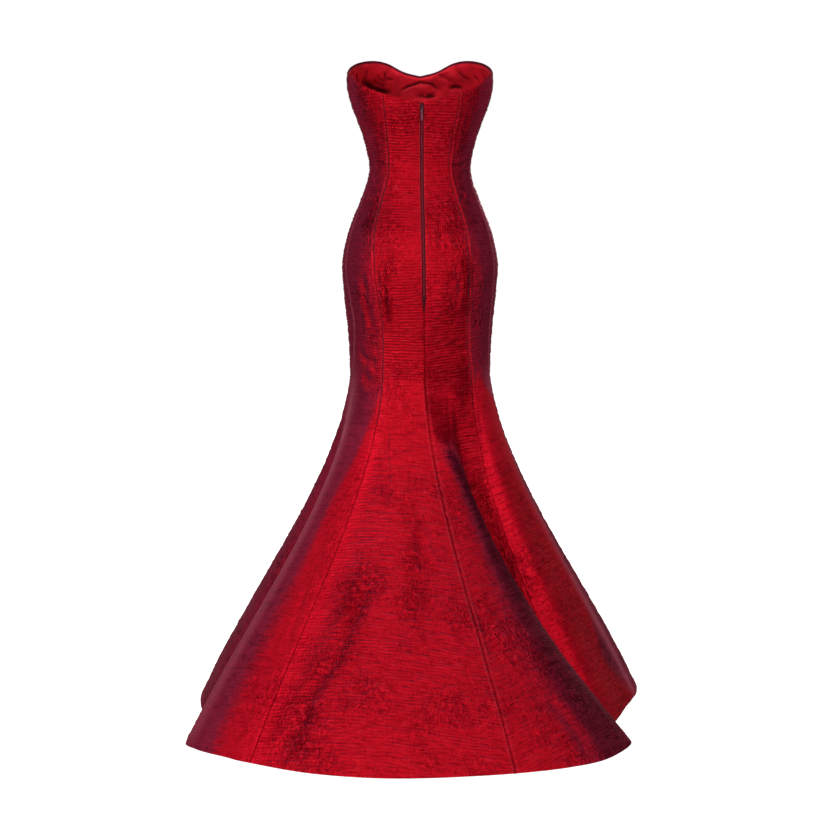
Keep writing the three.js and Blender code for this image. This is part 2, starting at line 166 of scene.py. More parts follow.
class GownForm:
    """The outside of the gown as a surface over angle and height, in mm, the same as the CAD model's."""

    def __init__(self) -> None:
        """Sets up the curves through the tables."""
        self.half_width = column(BODY_SECTIONS, 0, 1)
        self.back = column(BODY_SECTIONS, 0, 2)
        self.front = column(BODY_SECTIONS, 0, 3)
        self.neckline = column(NECKLINE, 0, 1)
        self.bust = Bust()
        turns = (-360, FOLDS[-3:]), (0, FOLDS), (360, FOLDS[:3])
        around = tuple((angle + turn, *rest) for turn, folds in turns for angle, *rest in folds)
        self.fold_x, self.fold_y, self.fold_lag = (column(around, 0, i) for i in (1, 2, 3))

    def neck(self, angle: Array) -> Array:
        """The top edge's height at an angle."""
        return self.neckline.at(np.abs((angle + 180) % 360 - 180))

    def body(self, angle: Array, height: Array) -> Array:
        """Points of the body part, from the neckline to the knee."""
        x, y = -np.sin(np.radians(angle)), np.cos(np.radians(angle))
        depth = np.where(y > 0, self.back.at(height), self.front.at(height))
        rise = self.bust.at(angle, height)
        return np.stack([x * (self.half_width.at(height) + rise), y * (depth + rise), height], -1)

    def skirt(self, angle: Array, height: Array) -> Array:
        """Points of the skirt, between the knee section and the hem's plan."""
        knee = self.body(angle, np.full_like(height, KNEE))
        first = FOLDS[0][0]
        key = first + (angle - first) % 360
        down = (KNEE - height) / (KNEE - HEM)
        sweep = np.maximum(0.3 * down + 1.45 * down ** 2 - 0.75 * down ** 3, 0)
        share = sweep ** self.fold_lag.at(key)
        x = knee[..., 0] + (self.fold_x.at(key) - knee[..., 0]) * share
        y = knee[..., 1] + (self.fold_y.at(key) - knee[..., 1]) * share
        return np.stack([x, y, height], -1)

    def points(self, angle: Array, height: Array) -> Array:
        """Points of the gown's outside.

        Args:
            angle: degrees from the centre back towards the wearer's right.
            height: mm above the waist, the same shape as angle.

        Returns:
            An array of points in mm, with one more axis.
        """
        angle, height = np.broadcast_arrays(np.asarray(angle, float), np.asarray(height, float))
        body = self.body(angle, np.maximum(height, KNEE))
        skirt = self.skirt(angle, np.minimum(height, KNEE))
        return np.where((height >= KNEE)[..., None], body, skirt)

    def frames(self, angle: Array, height: Array) -> tuple[Array, ...]:
        """Points of the outside with the directions along the cloth and out of it.

        Args:
            angle: degrees from the centre back.
            height: mm above the waist.

        Returns:
            The points, and unit vectors across, up and out.
        """
        across = self.points(angle + 0.3, height) - self.points(angle - 0.3, height)
        up = self.points(angle, height + 1) - self.points(angle, height - 1)
        across /= np.linalg.norm(across, axis=-1, keepdims=True)
        up /= np.linalg.norm(up, axis=-1, keepdims=True)
        out = np.cross(across, up)
        out /= np.linalg.norm(out, axis=-1, keepdims=True)
        return self.points(angle, height), across, up, out


class Levels:
    """The rows of every sheet, from the hem up: level ones up to the waist, then shares of the bodice."""

    def __init__(self, form: GownForm, skirt: int = 322, hips: int = 220, bodice: int = 92) -> None:
        """Spaces the rows evenly along the cloth.

        Args:
            form: the gown's surface.
            skirt: rows between the hem and the knee.
            hips: rows between the knee and the waist.
            bodice: rows between the waist and the neckline.
        """
        self.form = form
        trial = np.linspace(HEM, KNEE, 400)
        run = sum(lengths(form.points(angle, trial)) for angle in (-20.0, 14.0, -72.0))
        below = np.interp(np.linspace(0, run[-1], skirt + 1), run, trial)
        self.level = np.concatenate([below, np.linspace(KNEE, 0, hips + 1)[1:], np.zeros(bodice)])
        self.share = np.concatenate([np.zeros(skirt + hips + 1), np.linspace(0, 1, bodice + 1)[1:]])

    def heights(self, angle: Array) -> Array:
        """Heights of all rows at angles given per row, of shape (rows, columns)."""
        return self.level[:, None] + self.share[:, None] * self.form.neck(angle)

    def seam_angles(self, seam: Seam) -> Array:
        """The angle of a seam on each row; below the knee it stays as it is at the knee."""
        table = column(seam.value, 0, 1)
        angle = np.full(len(self.level), float(seam.value[0][1]))
        for _ in range(2):
            height = np.maximum(self.heights(angle[:, None])[:, 0], KNEE)
            angle = table.at(height)
        return angle


class Noise:
    """Smooth seeded noise over a plane, from -1 to 1, the same on every run."""

    def __init__(self, seed: int) -> None:
        """Keeps the seed."""
        self.seed = seed

    def corner(self, x: Array, y: Array) -> Array:
        """The value at whole numbers."""
        n = (x.astype(np.int64) * 374761393 + y.astype(np.int64) * 668265263
             + self.seed * 362437) & 0xFFFFFFFF
        n = ((n ^ (n >> 13)) * 1274126177) & 0xFFFFFFFF
        return ((n ^ (n >> 16)) & 0xFFFF) / 32767.5 - 1

    def at(self, x: Array, y: Array) -> Array:
        """The noise at any place.

        Args:
            x: place in cells.
            y: place in cells.

        Returns:
            Values from -1 to 1.
        """
        left, low = np.floor(x), np.floor(y)
        fx, fy = x - left, y - low
        fx, fy = fx ** 3 * (fx * (fx * 6 - 15) + 10), fy ** 3 * (fy * (fy * 6 - 15) + 10)
        a = self.corner(left, low) * (1 - fx) + self.corner(left + 1, low) * fx
        b = self.corner(left, low + 1) * (1 - fx) + self.corner(left + 1, low + 1) * fx
        return a * (1 - fy) + b * fy


@dataclass(frozen=True)
class Crease:
    """A soft trough (depth above 0) or ridge (below 0) laid along given points of (angle, height)."""

    points: tuple[tuple[float, float], ...]
    width: float
    depth: float
    reach: float = 3.2
    shoulder: float = 0.35
    shoulder_at: float = 1.9

    def near(self, form: GownForm, places: Array) -> tuple[Array, Array, Array]:
        """Finds the points near the crease.

        Args:
            form: the gown's surface.
            places: points of the cloth in mm, of shape (..., 3).

        Returns:
            A mask of the near points, and for each its distance and the crease's fading to both ends.
        """
        spots = np.array(self.points, float)
        line = form.points(spots[:, 0], spots[:, 1])
        reach = self.reach * self.width
        near = ((places > line.min(0) - reach) & (places < line.max(0) + reach)).all(-1)
        local = places[near]
        nearest = np.full(len(local), 1e9)
        along = np.zeros(len(local))
        count = len(line) - 1
        for i in range(count):
            run = line[i + 1] - line[i]
            t = np.clip(((local - line[i]) @ run) / (run @ run), 0, 1)
            gap = np.linalg.norm(local - line[i] - t[:, None] * run, axis=1)
            closer = gap < nearest
            nearest[closer] = gap[closer]
            along[closer] = (i + t[closer]) / count
        return near, nearest, smoothstep(0, 0.22, along) * smoothstep(1, 0.78, along)

    def lift(self, form: GownForm, places: Array) -> Array:
        """How far the cloth moves out because of the crease.

        Args:
            form: the gown's surface.
            places: points of the cloth in mm, of shape (..., 3).

        Returns:
            The move along the cloth's outward direction, in mm.
        """
        lift = np.zeros(places.shape[:-1])
        near, nearest, fade = self.near(form, places)
        if near.any():
            trough = np.exp(-(nearest / self.width) ** 2)
            aside = (nearest - self.shoulder_at * self.width) / self.width
            shoulder = self.shoulder * np.exp(-aside ** 2)
            lift[near] = self.depth * fade * (shoulder - trough)
        return lift

    def cover(self, form: GownForm, places: Array) -> Array:
        """How far the crease covers each point, from 0 to 1, without its shoulders."""
        cover = np.zeros(places.shape[:-1])
        near, nearest, fade = self.near(form, places)
        if near.any():
            cover[near] = fade * np.exp(-(nearest / self.width) ** 2)
        return cover


def creases(*rows: tuple[tuple[float, ...], float, float]) -> tuple[Crease, ...]:
    """Makes creases from rows of (angle, height, angle, height ...), width and depth."""
    return tuple(Crease(tuple(zip(spots[::2], spots[1::2])), width, depth) for spots, width, depth in rows)


# The main creases, from the photograph on the back and in the same manner on the hidden sides
CREASES = creases(
    ((-47, -225, -44, -290, -39, -360), 9, 2.2), ((-33, -215, -31.5, -260, -30, -330), 4.5, 2.4),
    ((-28, -245, -27, -290, -26, -345), 5, 1.8), ((-20, -205, -19, -250, -19, -310), 6, 1.0),
    ((-22.5, -560, -21, -610, -17.5, -654), 5, 2.0), ((-18, -640, -17, -680, -15.5, -720), 5, 2.2),
    ((-3, -720, -1, -780, 0, -820), 6, 1.8), ((-12, -470, -10, -520, -11, -560), 7, 1.4),
    ((14, -120, 17, -160, 22, -235), 7, 1.6), ((24, -200, 30, -235, 31, -290), 8, 1.8),
    ((52, -60, 44, -74, 39, -80), 6, 1.6), ((66, 6, 52, -4, 41, -3), 5, 1.4),
    ((65, 26, 56, 20, 44, 22), 5, 1.1), ((-66, 10, -54, 0, -44, 2), 5, 1.5),
    ((-65, -22, -55, -30, -45, -28), 6, 1.4), ((-60, -400, -48, -420, -36, -425), 9, 2.4),
    ((-55, -452, -44, -470, -30, -474), 10, 2.2), ((20, -380, 32, -398, 41, -402), 9, 1.8),
    ((-17, -835, -19.5, -916, -21.5, -990, -24, -1060), 14, 4.2),
    ((-23.5, -1016, -24.5, -1096, -26, -1165), 12, 3.6), ((-44, -870, -40, -930, -37, -1000), 10, 1.8),
    ((5, -860, 6, -930, 5.5, -1010), 11, 1.6), ((-4.5, -735, -3.5, -832, -6.5, -915, -8, -980), 13, 3.8),
    ((-12, -980, -11, -1054, -12, -1120), 11, 2.2),
    ((25, -1064, 25.5, -1110, 26, -1142, 24.5, -1178), 8, -2.5),
    ((11.5, -1062, 13, -1094, 14.5, -1136, 14.5, -1178), 12, 2.4),
    ((36, -560, 38, -620, 42, -720, 45, -830), 24, 4.0), ((27, -470, 28, -520, 26, -575), 18, -3.0),
    ((88, -40, 96, -60, 108, -70), 7, 1.6), ((100, 20, 112, 8, 124, 10), 6, 1.5),
    ((250, 18, 262, 6, 272, 8), 6, 1.5), ((236, -44, 250, -60, 264, -62), 7, 1.6),
    ((160, -70, 180, -82, 203, -76), 9, 1.6), ((156, -395, 178, -412, 200, -404), 10, 2.4),
    ((150, -440, 176, -452, 206, -448), 10, 2.0), ((108, -420, 120, -438, 134, -440), 9, 1.8),
    ((226, -432, 240, -446, 254, -440), 9, 1.8), ((168, -560, 172, -640, 171, -720), 9, 2.2),
    ((192, -600, 189, -690, 190, -770), 9, 2.0), ((140, -760, 142, -850, 141, -940), 12, 2.6),
    ((222, -740, 224, -840, 221, -930), 12, 2.6), ((95, -620, 97, -700, 96, -790), 10, 2.0),
    ((262, -600, 260, -700, 262, -800), 10, 2.0), ((176, -930, 179, -1010, 178, -1100), 13, 2.4),
)

# Where the crinkle is tangled, more crumpled and darker, with stronger painted shade and highlight in its
# wrinkles: angle, height, reach in mm, strength
TANGLES = (
    (-20.5, -906, 52, 0.9), (-27, -892, 45, 0.6), (-24, -994, 52, 0.95), (-24, -1086, 58, 1.0),
    (-25, -1140, 50, 0.9), (-17, -850, 44, 0.7), (-5, -814, 46, 0.9), (-6, -884, 52, 0.9),
    (-4.5, -752, 36, 0.8), (-18.5, -690, 30, 0.9), (3, -1066, 55, 0.7), (-11, -1054, 40, 0.7),
    (-44, -900, 50, 0.5), (-40, -1060, 55, 0.6), (6, -930, 60, 0.4), (20, -1080, 60, 0.5),
    (15, -158, 34, 0.8), (29, -232, 40, 0.9), (22, -290, 34, 0.8), (-45, -288, 30, 0.7),
    (-40, -352, 30, 0.6), (-29, -290, 36, 0.9), (10, -250, 34, 0.5), (30, 60, 34, 0.5), (52, -860, 60, 0.6),
    (62, -960, 60, 0.6), (150, -900, 70, 0.6), (205, -820, 70, 0.6), (178, -260, 50, 0.5),
    (250, -300, 45, 0.5), (110, -250, 45, 0.5), (262, -900, 70, 0.5),
)


@dataclass
class Crinkle:
    """The crushed ribs that are pressed into the taffeta, in mm, over the flat cut of a panel."""

    seed: int
    pitch: float = 6.4
    skirt_pitch: float = 7.0
    height: float = 0.66
    skirt_height: float = 0.62
    crumple_height: float = 1.3
    margin: float = 400

    def phase(self, u: Array, v: Array, fall: Array, skirt: Array) -> Array:
        """Counts the ribs along the cut, a whole number in each groove, with a little waviness.

        Args:
            u: place across the flat cut, in mm.
            v: place along the flat cut, in mm.
            fall: length along the panel's middle from the hem up, per row.
            skirt: 0 above the knee to 1 below it, per row.

        Returns:
            The count at each place.
        """
        pitch = self.pitch + (self.skirt_pitch - self.pitch) * skirt
        count = np.concatenate([[0], np.cumsum(np.diff(fall) / (pitch[1:] + pitch[:-1]) * 2)])
        axis = np.concatenate([[fall[0] - self.margin], fall, [fall[-1] + self.margin]])
        count = np.concatenate([[-self.margin / pitch[0]], count, [count[-1] + self.margin / pitch[-1]]])
        s = self.seed
        wave = v + 2.2 * Noise(s).at(u / 66, v / 40) + 0.8 * Noise(s + 1).at(u / 24, v / 15)
        return np.interp(wave, axis, count)

    def lift(self, u: Array, v: Array, phase: Array, skirt: Array, tangle: Array) -> Array:
        """How far the crinkle stands out; the finest ribs of the skirt are left to the material.

        Args:
            u: place across the flat cut, in mm.
            v: place along the flat cut, in mm.
            phase: the count of ribs.
            skirt: 0 above the knee to 1 below it.
            tangle: how tangled the cloth is.

        Returns:
            The height in mm.
        """
        s = self.seed
        even = (np.abs(np.sin(math.pi * phase)) - 0.64) * (0.36 + 0.8 * Noise(s + 4).at(u / 34, v / 12))
        upper = self.height * (even + 0.55 * Noise(s + 3).at(u / 12, v / 5))
        lower = self.skirt_height * (Noise(s + 2).at(u / 40, v / 6.2) + 0.5 * Noise(s + 7).at(u / 16, v / 5))
        crumple = Noise(s + 5).at(u / 9, v / 22) + 0.6 * Noise(s + 6).at(u / 16, v / 9)
        ribs = upper * (1 - skirt) + lower * skirt
        return ribs * (1 - 0.4 * tangle) + self.crumple_height * tangle * crumple


def deselect() -> None:
    """Leaves nothing selected, the CAD nodes included."""
    bpy.ops.object.select_all(action="DESELECT")


def apply_modifier(piece: bpy.types.Object, kind: str, **settings: object) -> None:
    """Adds a modifier to a piece, sets it and applies it.

    Args:
        piece: the mesh object.
        kind: the modifier's type.
        settings: its values by name.
    """
    modifier = piece.modifiers.new(kind.title(), kind)
    for name, value in settings.items():
        setattr(modifier, name, value)
    bpy.context.view_layer.objects.active = piece
    bpy.ops.object.modifier_apply(modifier=modifier.name)


def sheet_from_grid(name: str, places: Array, flat: Array,
                    marks: dict[str, Array], wall: float) -> bpy.types.Object:
    """A grid primitive laid on a surface and given a wall.

    Args:
        name: the piece's name.
        places: points in mm of shape (rows, columns, 3); columns and rows turn anticlockwise seen
            from the side that is kept in place.
        flat: places on the flat cut in mm, of shape (rows, columns, 2).
        marks: named values over the sheet, of shape (rows, columns).
        wall: the cloth's thickness in mm, built behind the given points.

    Returns:
        The finished mesh object, at the origin.
    """
    rows, columns = places.shape[:2]
    deselect()
    bpy.ops.mesh.primitive_grid_add(x_subdivisions=columns - 1, y_subdivisions=rows - 1, size=2)
    piece = bpy.context.active_object
    piece.name = name
    mesh = piece.data
    mesh.name = name
    start = np.empty(len(mesh.vertices) * 3)
    mesh.vertices.foreach_get("co", start)
    start = start.reshape(-1, 3)
    c = np.rint((start[:, 0] + 1) / 2 * (columns - 1)).astype(int)
    r = np.rint((start[:, 1] + 1) / 2 * (rows - 1)).astype(int)
    mesh.vertices.foreach_set("co", (places[r, c] * MM).ravel())
    while mesh.uv_layers:
        mesh.uv_layers.remove(mesh.uv_layers[0])
    layer = mesh.uv_layers.new(name="cut")
    corner = np.empty(len(mesh.loops), np.int32)
    mesh.loops.foreach_get("vertex_index", corner)
    layer.uv.foreach_set("vector", (flat[r, c] * MM)[corner].astype(np.float32).ravel())
    for label, values in marks.items():
        mark = mesh.attributes.new(label, "FLOAT", "POINT")
        mark.data.foreach_set("value", values[r, c].astype(np.float32))
    mesh.update()
    apply_modifier(piece, "SOLIDIFY", thickness=wall * MM, offset=-1, use_rim=True)
    deselect()
    piece.select_set(True)
    bpy.context.view_layer.objects.active = piece
    bpy.ops.object.shade_smooth_by_angle(angle=math.radians(62))
    return piece


def spread_columns(run: Array, first: Array, last: Array, count: int, edge: tuple[float, ...]) -> Array:
    """Places of the columns along each row: close ones at both edges, even ones between.

    Args:
        run: each row's length in mm.
        first: how far from the row's start the sheet begins, per row.
        last: how far from the row's end it stops, per row.
        count: the number of columns.
        edge: distances of the close columns from an edge, in mm, from 0 up.

    Returns:
        Places in mm from the row's start, of shape (rows, count).
    """
    n = len(edge)
    near = first[:, None] + np.array(edge)
    far = (run - last)[:, None] - np.array(edge)[::-1]
    t = np.linspace(0, 1, count - 2 * n + 2)[1:-1]
    middle = near[:, -1:] + (far[:, :1] - near[:, -1:]) * t
    return np.concatenate([near, middle, far], axis=1)


@dataclass(frozen=True)
class ZipPlan:
    """Sizes of the zip at the centre back, in mm, as in the CAD model."""

    opening: float = 8.5
    end: float = -284.3
    closed: float = -319.8
    top_drop: float = 2.0
    tail: float = 16.0
    seam_gap: float = 0.3

    def half_gap(self, height: Array) -> Array:
        """Half the gap between the centre-back panels at a height."""
        share = np.clip((height - self.closed) / (self.end - self.closed), 0, 1)
        return (self.seam_gap + (self.opening - self.seam_gap) * share) / 2


ZIP = ZipPlan()
# The lining's lower edge as a share of the neckline's height over the waist
LINING_SHARE = 1 / 7
# The gown's seams at the sides, and the one seam at the centre back, which the angles reach twice
SIDES = (Seam.SIDE_LEFT, Seam.SIDE_RIGHT)
MIDDLES = (Seam.CENTRE_BACK, Seam.CENTRE_BACK_AGAIN)


@dataclass(frozen=True)
class Tone:
    """A zone of the cloth, as rows of height and the two angles between, with painted colour: the navy
    thread's sheen painted as plum where the cloth turns away, painted light that brightens the red and keeps
    it red where it turns away, painted shade, and painted highlight lines.
    """

    rows: tuple[Triple, ...]
    soft: float = 3.0
    plum: float = 0.0
    painted_light: float = 0.0
    painted_shade: float = 0.0
    pale: float = 0.0

    def cover(self, angle: Array, height: Array) -> Array:
        """How far the zone covers each point, from 0 to 1, with soft edges."""
        turn = (angle - self.rows[0][1] + 180) % 360 - 180 + self.rows[0][1]
        low = column(self.rows, 0, 1).at(height)
        high = column(self.rows, 0, 2).at(height)
        inside = smoothstep(low - self.soft, low + self.soft, turn) * smoothstep(
            high + self.soft, high - self.soft, turn)
        top, bottom = max(r[0] for r in self.rows), min(r[0] for r in self.rows)
        return inside * smoothstep(top + 30, top - 30, height) * smoothstep(bottom - 30, bottom + 30, height)


# Zones of painted plum sheen, of painted light that brightens the red and keeps it red where it turns away,
# of painted shade and of painted highlight lines
TONES = (
    Tone(((60, -76, -36), (0, -76, -39), (-100, -76, -41), (-225, -76, -36), (-347, -76, -32),
         (-470, -76, -31), (-504, -78, -33), (-560, -78, -38)), plum=0.3, painted_shade=0.36),
    Tone(((-480, -78, -31), (-504, -78, -34), (-590, -78, -42), (-674, -78, -53), (-766, -78, -58),
         (-908, -78, -59.5), (-1084, -78, -58), (-1220, -78, -56)), plum=0.95),
    Tone(((-560, -38, -26), (-590, -40, -26), (-674, -50, -26), (-766, -55, -26), (-908, -54, -26),
         (-1220, -53, -26)), 4, painted_light=1),
    Tone(((-452, 54, 58), (-480, 50, 66), (-530, 48, 84), (-700, 46, 89), (-900, 46, 87), (-1000, 46, 79),
         (-1080, 46, 70), (-1150, 46, 73), (-1220, 46, 84)), 4, painted_light=0.95),
    Tone(((-640, 46, 89), (-900, 46, 87), (-1000, 46, 79), (-1080, 46, 70), (-1150, 46, 73),
         (-1220, 46, 84)), 4, painted_shade=0.55),
    Tone(((-450, 54, 60), (-540, 48, 84), (-640, 46, 88)), 4, painted_shade=0.25),
    Tone(((-290, 5, 38), (-400, 5, 41), (-480, 4.5, 48), (-560, 7, 46), (-620, 22, 46), (-760, 27, 47),
         (-900, 30, 47)), 4, painted_shade=1),
    Tone(((-590, 8, 14), (-625, 10, 19), (-660, 13, 23), (-690, 14.5, 26), (-725, 15.5, 28),
         (-760, 15, 28), (-850, 13.5, 29), (-930, 17, 30)), plum=0.9, painted_shade=1),
    Tone(((-900, 17, 30), (-980, 20, 31), (-1060, 24, 34), (-1160, 29, 37), (-1220, 30, 38)), plum=0.85,
         painted_shade=0.5),
    Tone(((-860, 12, 19), (-960, 12, 24), (-1060, 13, 28), (-1220, 17, 33)), 4, plum=0.4, painted_shade=0.8),
    Tone(((-560, 80, 96), (-800, 77, 96), (-980, 74, 96), (-1060, 69, 96), (-1110, 71, 96),
         (-1150, 79, 96)), plum=0.8, painted_shade=0.4),
    Tone(((-880, 24, 28), (-980, 27, 31), (-1060, 30, 34), (-1160, 34, 37)), 1.5, pale=0.32),
    Tone(((-460, -71, -64), (-700, -71, -65), (-1180, -71, -66)), pale=0.35),
    Tone(((40, 37, 76), (-133, 41, 76), (-300, 41, 76), (-440, 46, 76)), plum=0.26, painted_shade=0.42),
    Tone(((-450, 8, 42), (-540, 10, 42), (-590, 18, 42), (-650, 24, 42)), painted_light=0.55),
    Tone(((-490, 22, 33), (-540, 23, 34), (-600, 21, 31), (-640, 22, 30)), 2, painted_light=1),
    Tone(((70, -74, -41), (0, -74, -42), (-80, -72, -44)), 4, painted_light=0.4),
    Tone(((-190, 31, 41), (-260, 32, 41), (-330, 33, 41)), 2.5, painted_shade=1.5),
    Tone(((-200, -27, -20), (-340, -30, -21)), painted_shade=1.1),
    Tone(((-230, 4, 14), (-300, 4, 15), (-350, 4, 8)), 2.5, painted_light=0.8),
    Tone(((-190, 42, 50), (-300, 43, 50)), 2.5, painted_light=0.5),
    Tone(((-180, -40, -36), (-290, -42, -34), (-350, -38, -33)), 2.5, painted_light=0.75),
    Tone(((-650, -10, -6), (-704, -10.5, -6), (-760, -10, -6)), painted_shade=0.5),
    Tone(((-760, -8, -3), (-860, -8, -2.5), (-960, -7, -3)), painted_shade=0.45),
    Tone(((-850, -24, -17), (-890, -25, -17), (-990, -24, -17), (-1060, -32, -22), (-1150, -31, -20)), 3.5,
         painted_shade=0.62),
    Tone(((235, -60, 60), (-150, -60, 60)), 12, painted_shade=0.8),
    Tone(((-90, -40, 60), (-290, -36, 60)), 6, painted_shade=0.3),
    Tone(((-420, 4, 42), (-470, 4, 44), (-500, 4, 46)), painted_shade=2),
    Tone(((-480, 3, 23), (-520, 4, 23), (-560, 6, 20), (-600, 8, 16)), 2.5, painted_shade=2.3),
    Tone(((-480, 34, 48), (-560, 35, 51), (-650, 31, 48), (-720, 30, 42)), painted_shade=1.3),
    Tone(((-640, 1, 16), (-860, 1, 14), (-1220, 1, 18)), 2, painted_shade=0.32),
    Tone(((-960, -60, 44), (-1220, -60, 44)), 8, painted_shade=0.2),
    Tone(((-560, 142, 156), (-800, 144, 154), (-1220, 145, 153)), 4, painted_shade=0.4),
    Tone(((-520, 172, 188), (-800, 175, 185), (-1220, 176, 184)), 4, painted_shade=0.35),
    Tone(((-560, 206, 218), (-800, 208, 216), (-1220, 209, 215)), 4, painted_shade=0.4),
    Tone(((-500, 122, 138), (-800, 125, 136), (-1220, 126, 135)), 4, plum=0.5),
    Tone(((-520, 222, 238), (-800, 224, 236), (-1220, 225, 234)), 4, plum=0.5),
)


def declare(piece: bpy.types.Object, node: str, flat: tuple[float, float], area: float) -> None:
    """Says what a sheet of cloth rides on, stands for and was cut from.

    Args:
        piece: the sheet's object.
        node: the CAD node that it replaces.
        flat: width and length of the cut, in metres.
        area: the cut's area in square metres.
    """
    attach(piece, "gown")
    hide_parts(node)
    LOG.info("%s: %d faces, cut %.3f x %.3f m, %.3f m2", piece.name, len(piece.data.polygons), *flat, area)


@dataclass
class TaffetaPanel:
    """One cut panel of the gown, from the neckline to the hem, with its crinkle, creases and edges."""

    node: str
    start: Seam
    end: Seam
    columns: int
    seed: int
    wall: float = 1.2
    edge: tuple[float, ...] = (0.0, 0.9, 2.4, 4.8, 8.5)
    allowance: float = 2.4
    tuck: float = 1.9
    trials: int = 140
    even_rows: int = 41
    most_lean: float = 0.8
    cut_apart: float = 640
    shallowest: float = -20
    hem_fold: float = 0.45
    hem_roll: float = 0.8
    neck_roll: float = 1.1

    def half_gap(self, seam: Seam, height: Array) -> Array:
        """Half the gap at a seam, wider where the zip is."""
        return ZIP.half_gap(height) if seam in MIDDLES else np.full_like(height, ZIP.seam_gap / 2)

    def lay_out(self, form: GownForm, levels: Levels) -> dict[str, Array]:
        """Finds the panel's columns on each row and its flat cut.

        Args:
            form: the gown's surface.
            levels: the rows.

        Returns:
            Arrays by name: angle, height, u, v, the distances from both seams, the fall and the joined rows.
        """
        a, b = levels.seam_angles(self.start), levels.seam_angles(self.end)
        fine = a[:, None] + (b - a)[:, None] * np.linspace(0, 1, self.trials + 1)
        tall = levels.heights(fine)
        line = form.points(fine, tall)
        arc = lengths(line)
        first, last = self.half_gap(self.start, tall[:, 0]), self.half_gap(self.end, tall[:, -1])
        joined = (first < 0.2) & (tall[:, 0] < form.neck(a) * LINING_SHARE + 2)
        place = spread_columns(arc[:, -1], first, last, self.columns, self.edge)
        angle = np.stack([np.interp(p, s, f) for p, s, f in zip(place, arc, fine)])
        height = levels.heights(angle)
        middle = line[:, self.trials // 2]
        fall = lengths(middle)
        window = np.hanning(self.even_rows) / np.hanning(self.even_rows).sum()
        rise = np.stack([np.convolve(np.pad(r, self.even_rows // 2, mode="edge"), window, mode="valid")
                         for r in np.gradient(middle, fall, axis=0).T], -1)
        rise /= np.linalg.norm(rise, axis=-1, keepdims=True)
        across = place - arc[:, self.trials // 2][:, None]
        drop = ((form.points(angle, height) - middle[:, None]) * rise[:, None]).sum(-1)
        drop = np.clip(drop, -self.most_lean * np.abs(across), self.most_lean * np.abs(across))
        return {"angle": angle, "height": height, "joined": joined, "v": fall[:, None] + drop,
                "u": np.sign(across) * np.sqrt(across ** 2 - drop ** 2),
                "from_start": place - first[:, None], "from_end": (arc[:, -1] - last)[:, None] - place,
                "fall": np.broadcast_to(fall[:, None], angle.shape)}

    def edge_lift(self, seam: Seam, gap: Array, starts: bool) -> Array:
        """The pressed edge along a seam: a groove at the seam itself and the allowance under the cloth.

        Args:
            seam: the seam that the edge lies on.
            gap: distance from the edge in mm.
            starts: whether the panel begins at this seam.

        Returns:
            The move out of the cloth, in mm.
        """
        groove = -0.4 * np.exp(-(gap / 1.2) ** 2)
        if seam in SIDES:
            return 1.1 * np.exp(-(gap / 3.6) ** 2) - 0.5 * np.exp(-(gap / 0.8) ** 2)
        if seam in (Seam.BACK_PRINCESS_RIGHT, Seam.BACK_PRINCESS_LEFT) and starts:
            return groove + 0.6 * smoothstep(10.0, 6.8, gap) * smoothstep(0.5, 2.5, gap)
        return groove + 0.3 * np.exp(-((gap - 4.5) / 2.4) ** 2)

    def seam_dark(self, seam: Seam, gap: Array, height: Array) -> Array:
        """How dark the cloth is at a seam: most along the centre back below the zip."""
        if seam in MIDDLES:
            return 0.85 * np.exp(-(gap / 1.7) ** 2) * smoothstep(-270, -330, height)
        if seam in SIDES:
            return 0.15 * np.exp(-(gap / 1.0) ** 2)
        return np.exp(-(gap / 1.1) ** 2) * (0.22 + 0.48 * smoothstep(-500, -900, height))

    def seam_highlight(self, seam: Seam, gap: Array, height: Array) -> Array:
        """The painted highlight where a pressed seam stands up: a paler line, and a broad painted sheen
        beside the side seams on the skirt.
        """
        if seam in MIDDLES:
            beside = 0.5 * np.exp(-(gap / 1.6) ** 2) * smoothstep(-300, -270, height)
            return beside + 0.3 * np.exp(-((gap - 4.5) / 2.0) ** 2) * smoothstep(-430, -500, height)
        if seam in SIDES:
            glow = 0.62 * np.exp(-(gap / 17) ** 2) * smoothstep(-380, -560, height)
            return np.maximum(0.5 * np.exp(-(gap / 2.4) ** 2), glow) * smoothstep(20, -160, height)
        return 0.2 * np.exp(-((gap - 2.8) / 1.5) ** 2) * smoothstep(-760, -300, height)

    def build(self, form: GownForm, levels: Levels) -> bpy.types.Object:
        """Makes the panel.

        Args:
            form: the gown's surface.
            levels: the rows.

        Returns:
            The panel's object.
        """
        plan = self.lay_out(form, levels)
        angle, height, u, v, fall = (plan[name] for name in ("angle", "height", "u", "v", "fall"))
        seams = (self.start, plan["from_start"], True), (self.end, plan["from_end"], False)
        point, across, _, out = form.frames(angle, height)
        skirt = smoothstep(-430, -600, height)
        tangle = np.zeros(angle.shape)
        for *spot, reach, strength in TANGLES:
            gap = np.linalg.norm(point - form.points(*spot), axis=-1)
            tangle = np.maximum(tangle, strength * np.exp(-(gap / reach) ** 2))
        model = Crinkle(self.seed)
        phase = model.phase(u, v, fall[:, 0], skirt.mean(axis=1))
        crinkle = model.lift(u, v, phase, skirt, tangle)
        crinkle = crinkle * (1 + 1.3 * np.sin(np.radians(angle)) ** 6 * (1 - skirt * 0.6))
        fade = smoothstep(0.4, 5.0, np.minimum(plan["from_start"], plan["from_end"]))
        lift = crinkle * (0.35 + 0.65 * fade)
        for crease in CREASES:
            lift = lift + crease.lift(form, point)
        for seam, gap, starts in seams:
            lift = lift + self.edge_lift(seam, gap, starts)
        lift = np.where(height > self.shallowest, np.clip(lift, -0.95, 3), lift)
        from_neck = fall[-1:] - fall
        lift = lift + self.hem_fold * smoothstep(24, 20, fall) - self.hem_roll * smoothstep(3.4, 0, fall)
        lift = lift * smoothstep(0, 5, from_neck) - self.neck_roll * smoothstep(3.0, 0, from_neck)
        places = point + lift[..., None] * out
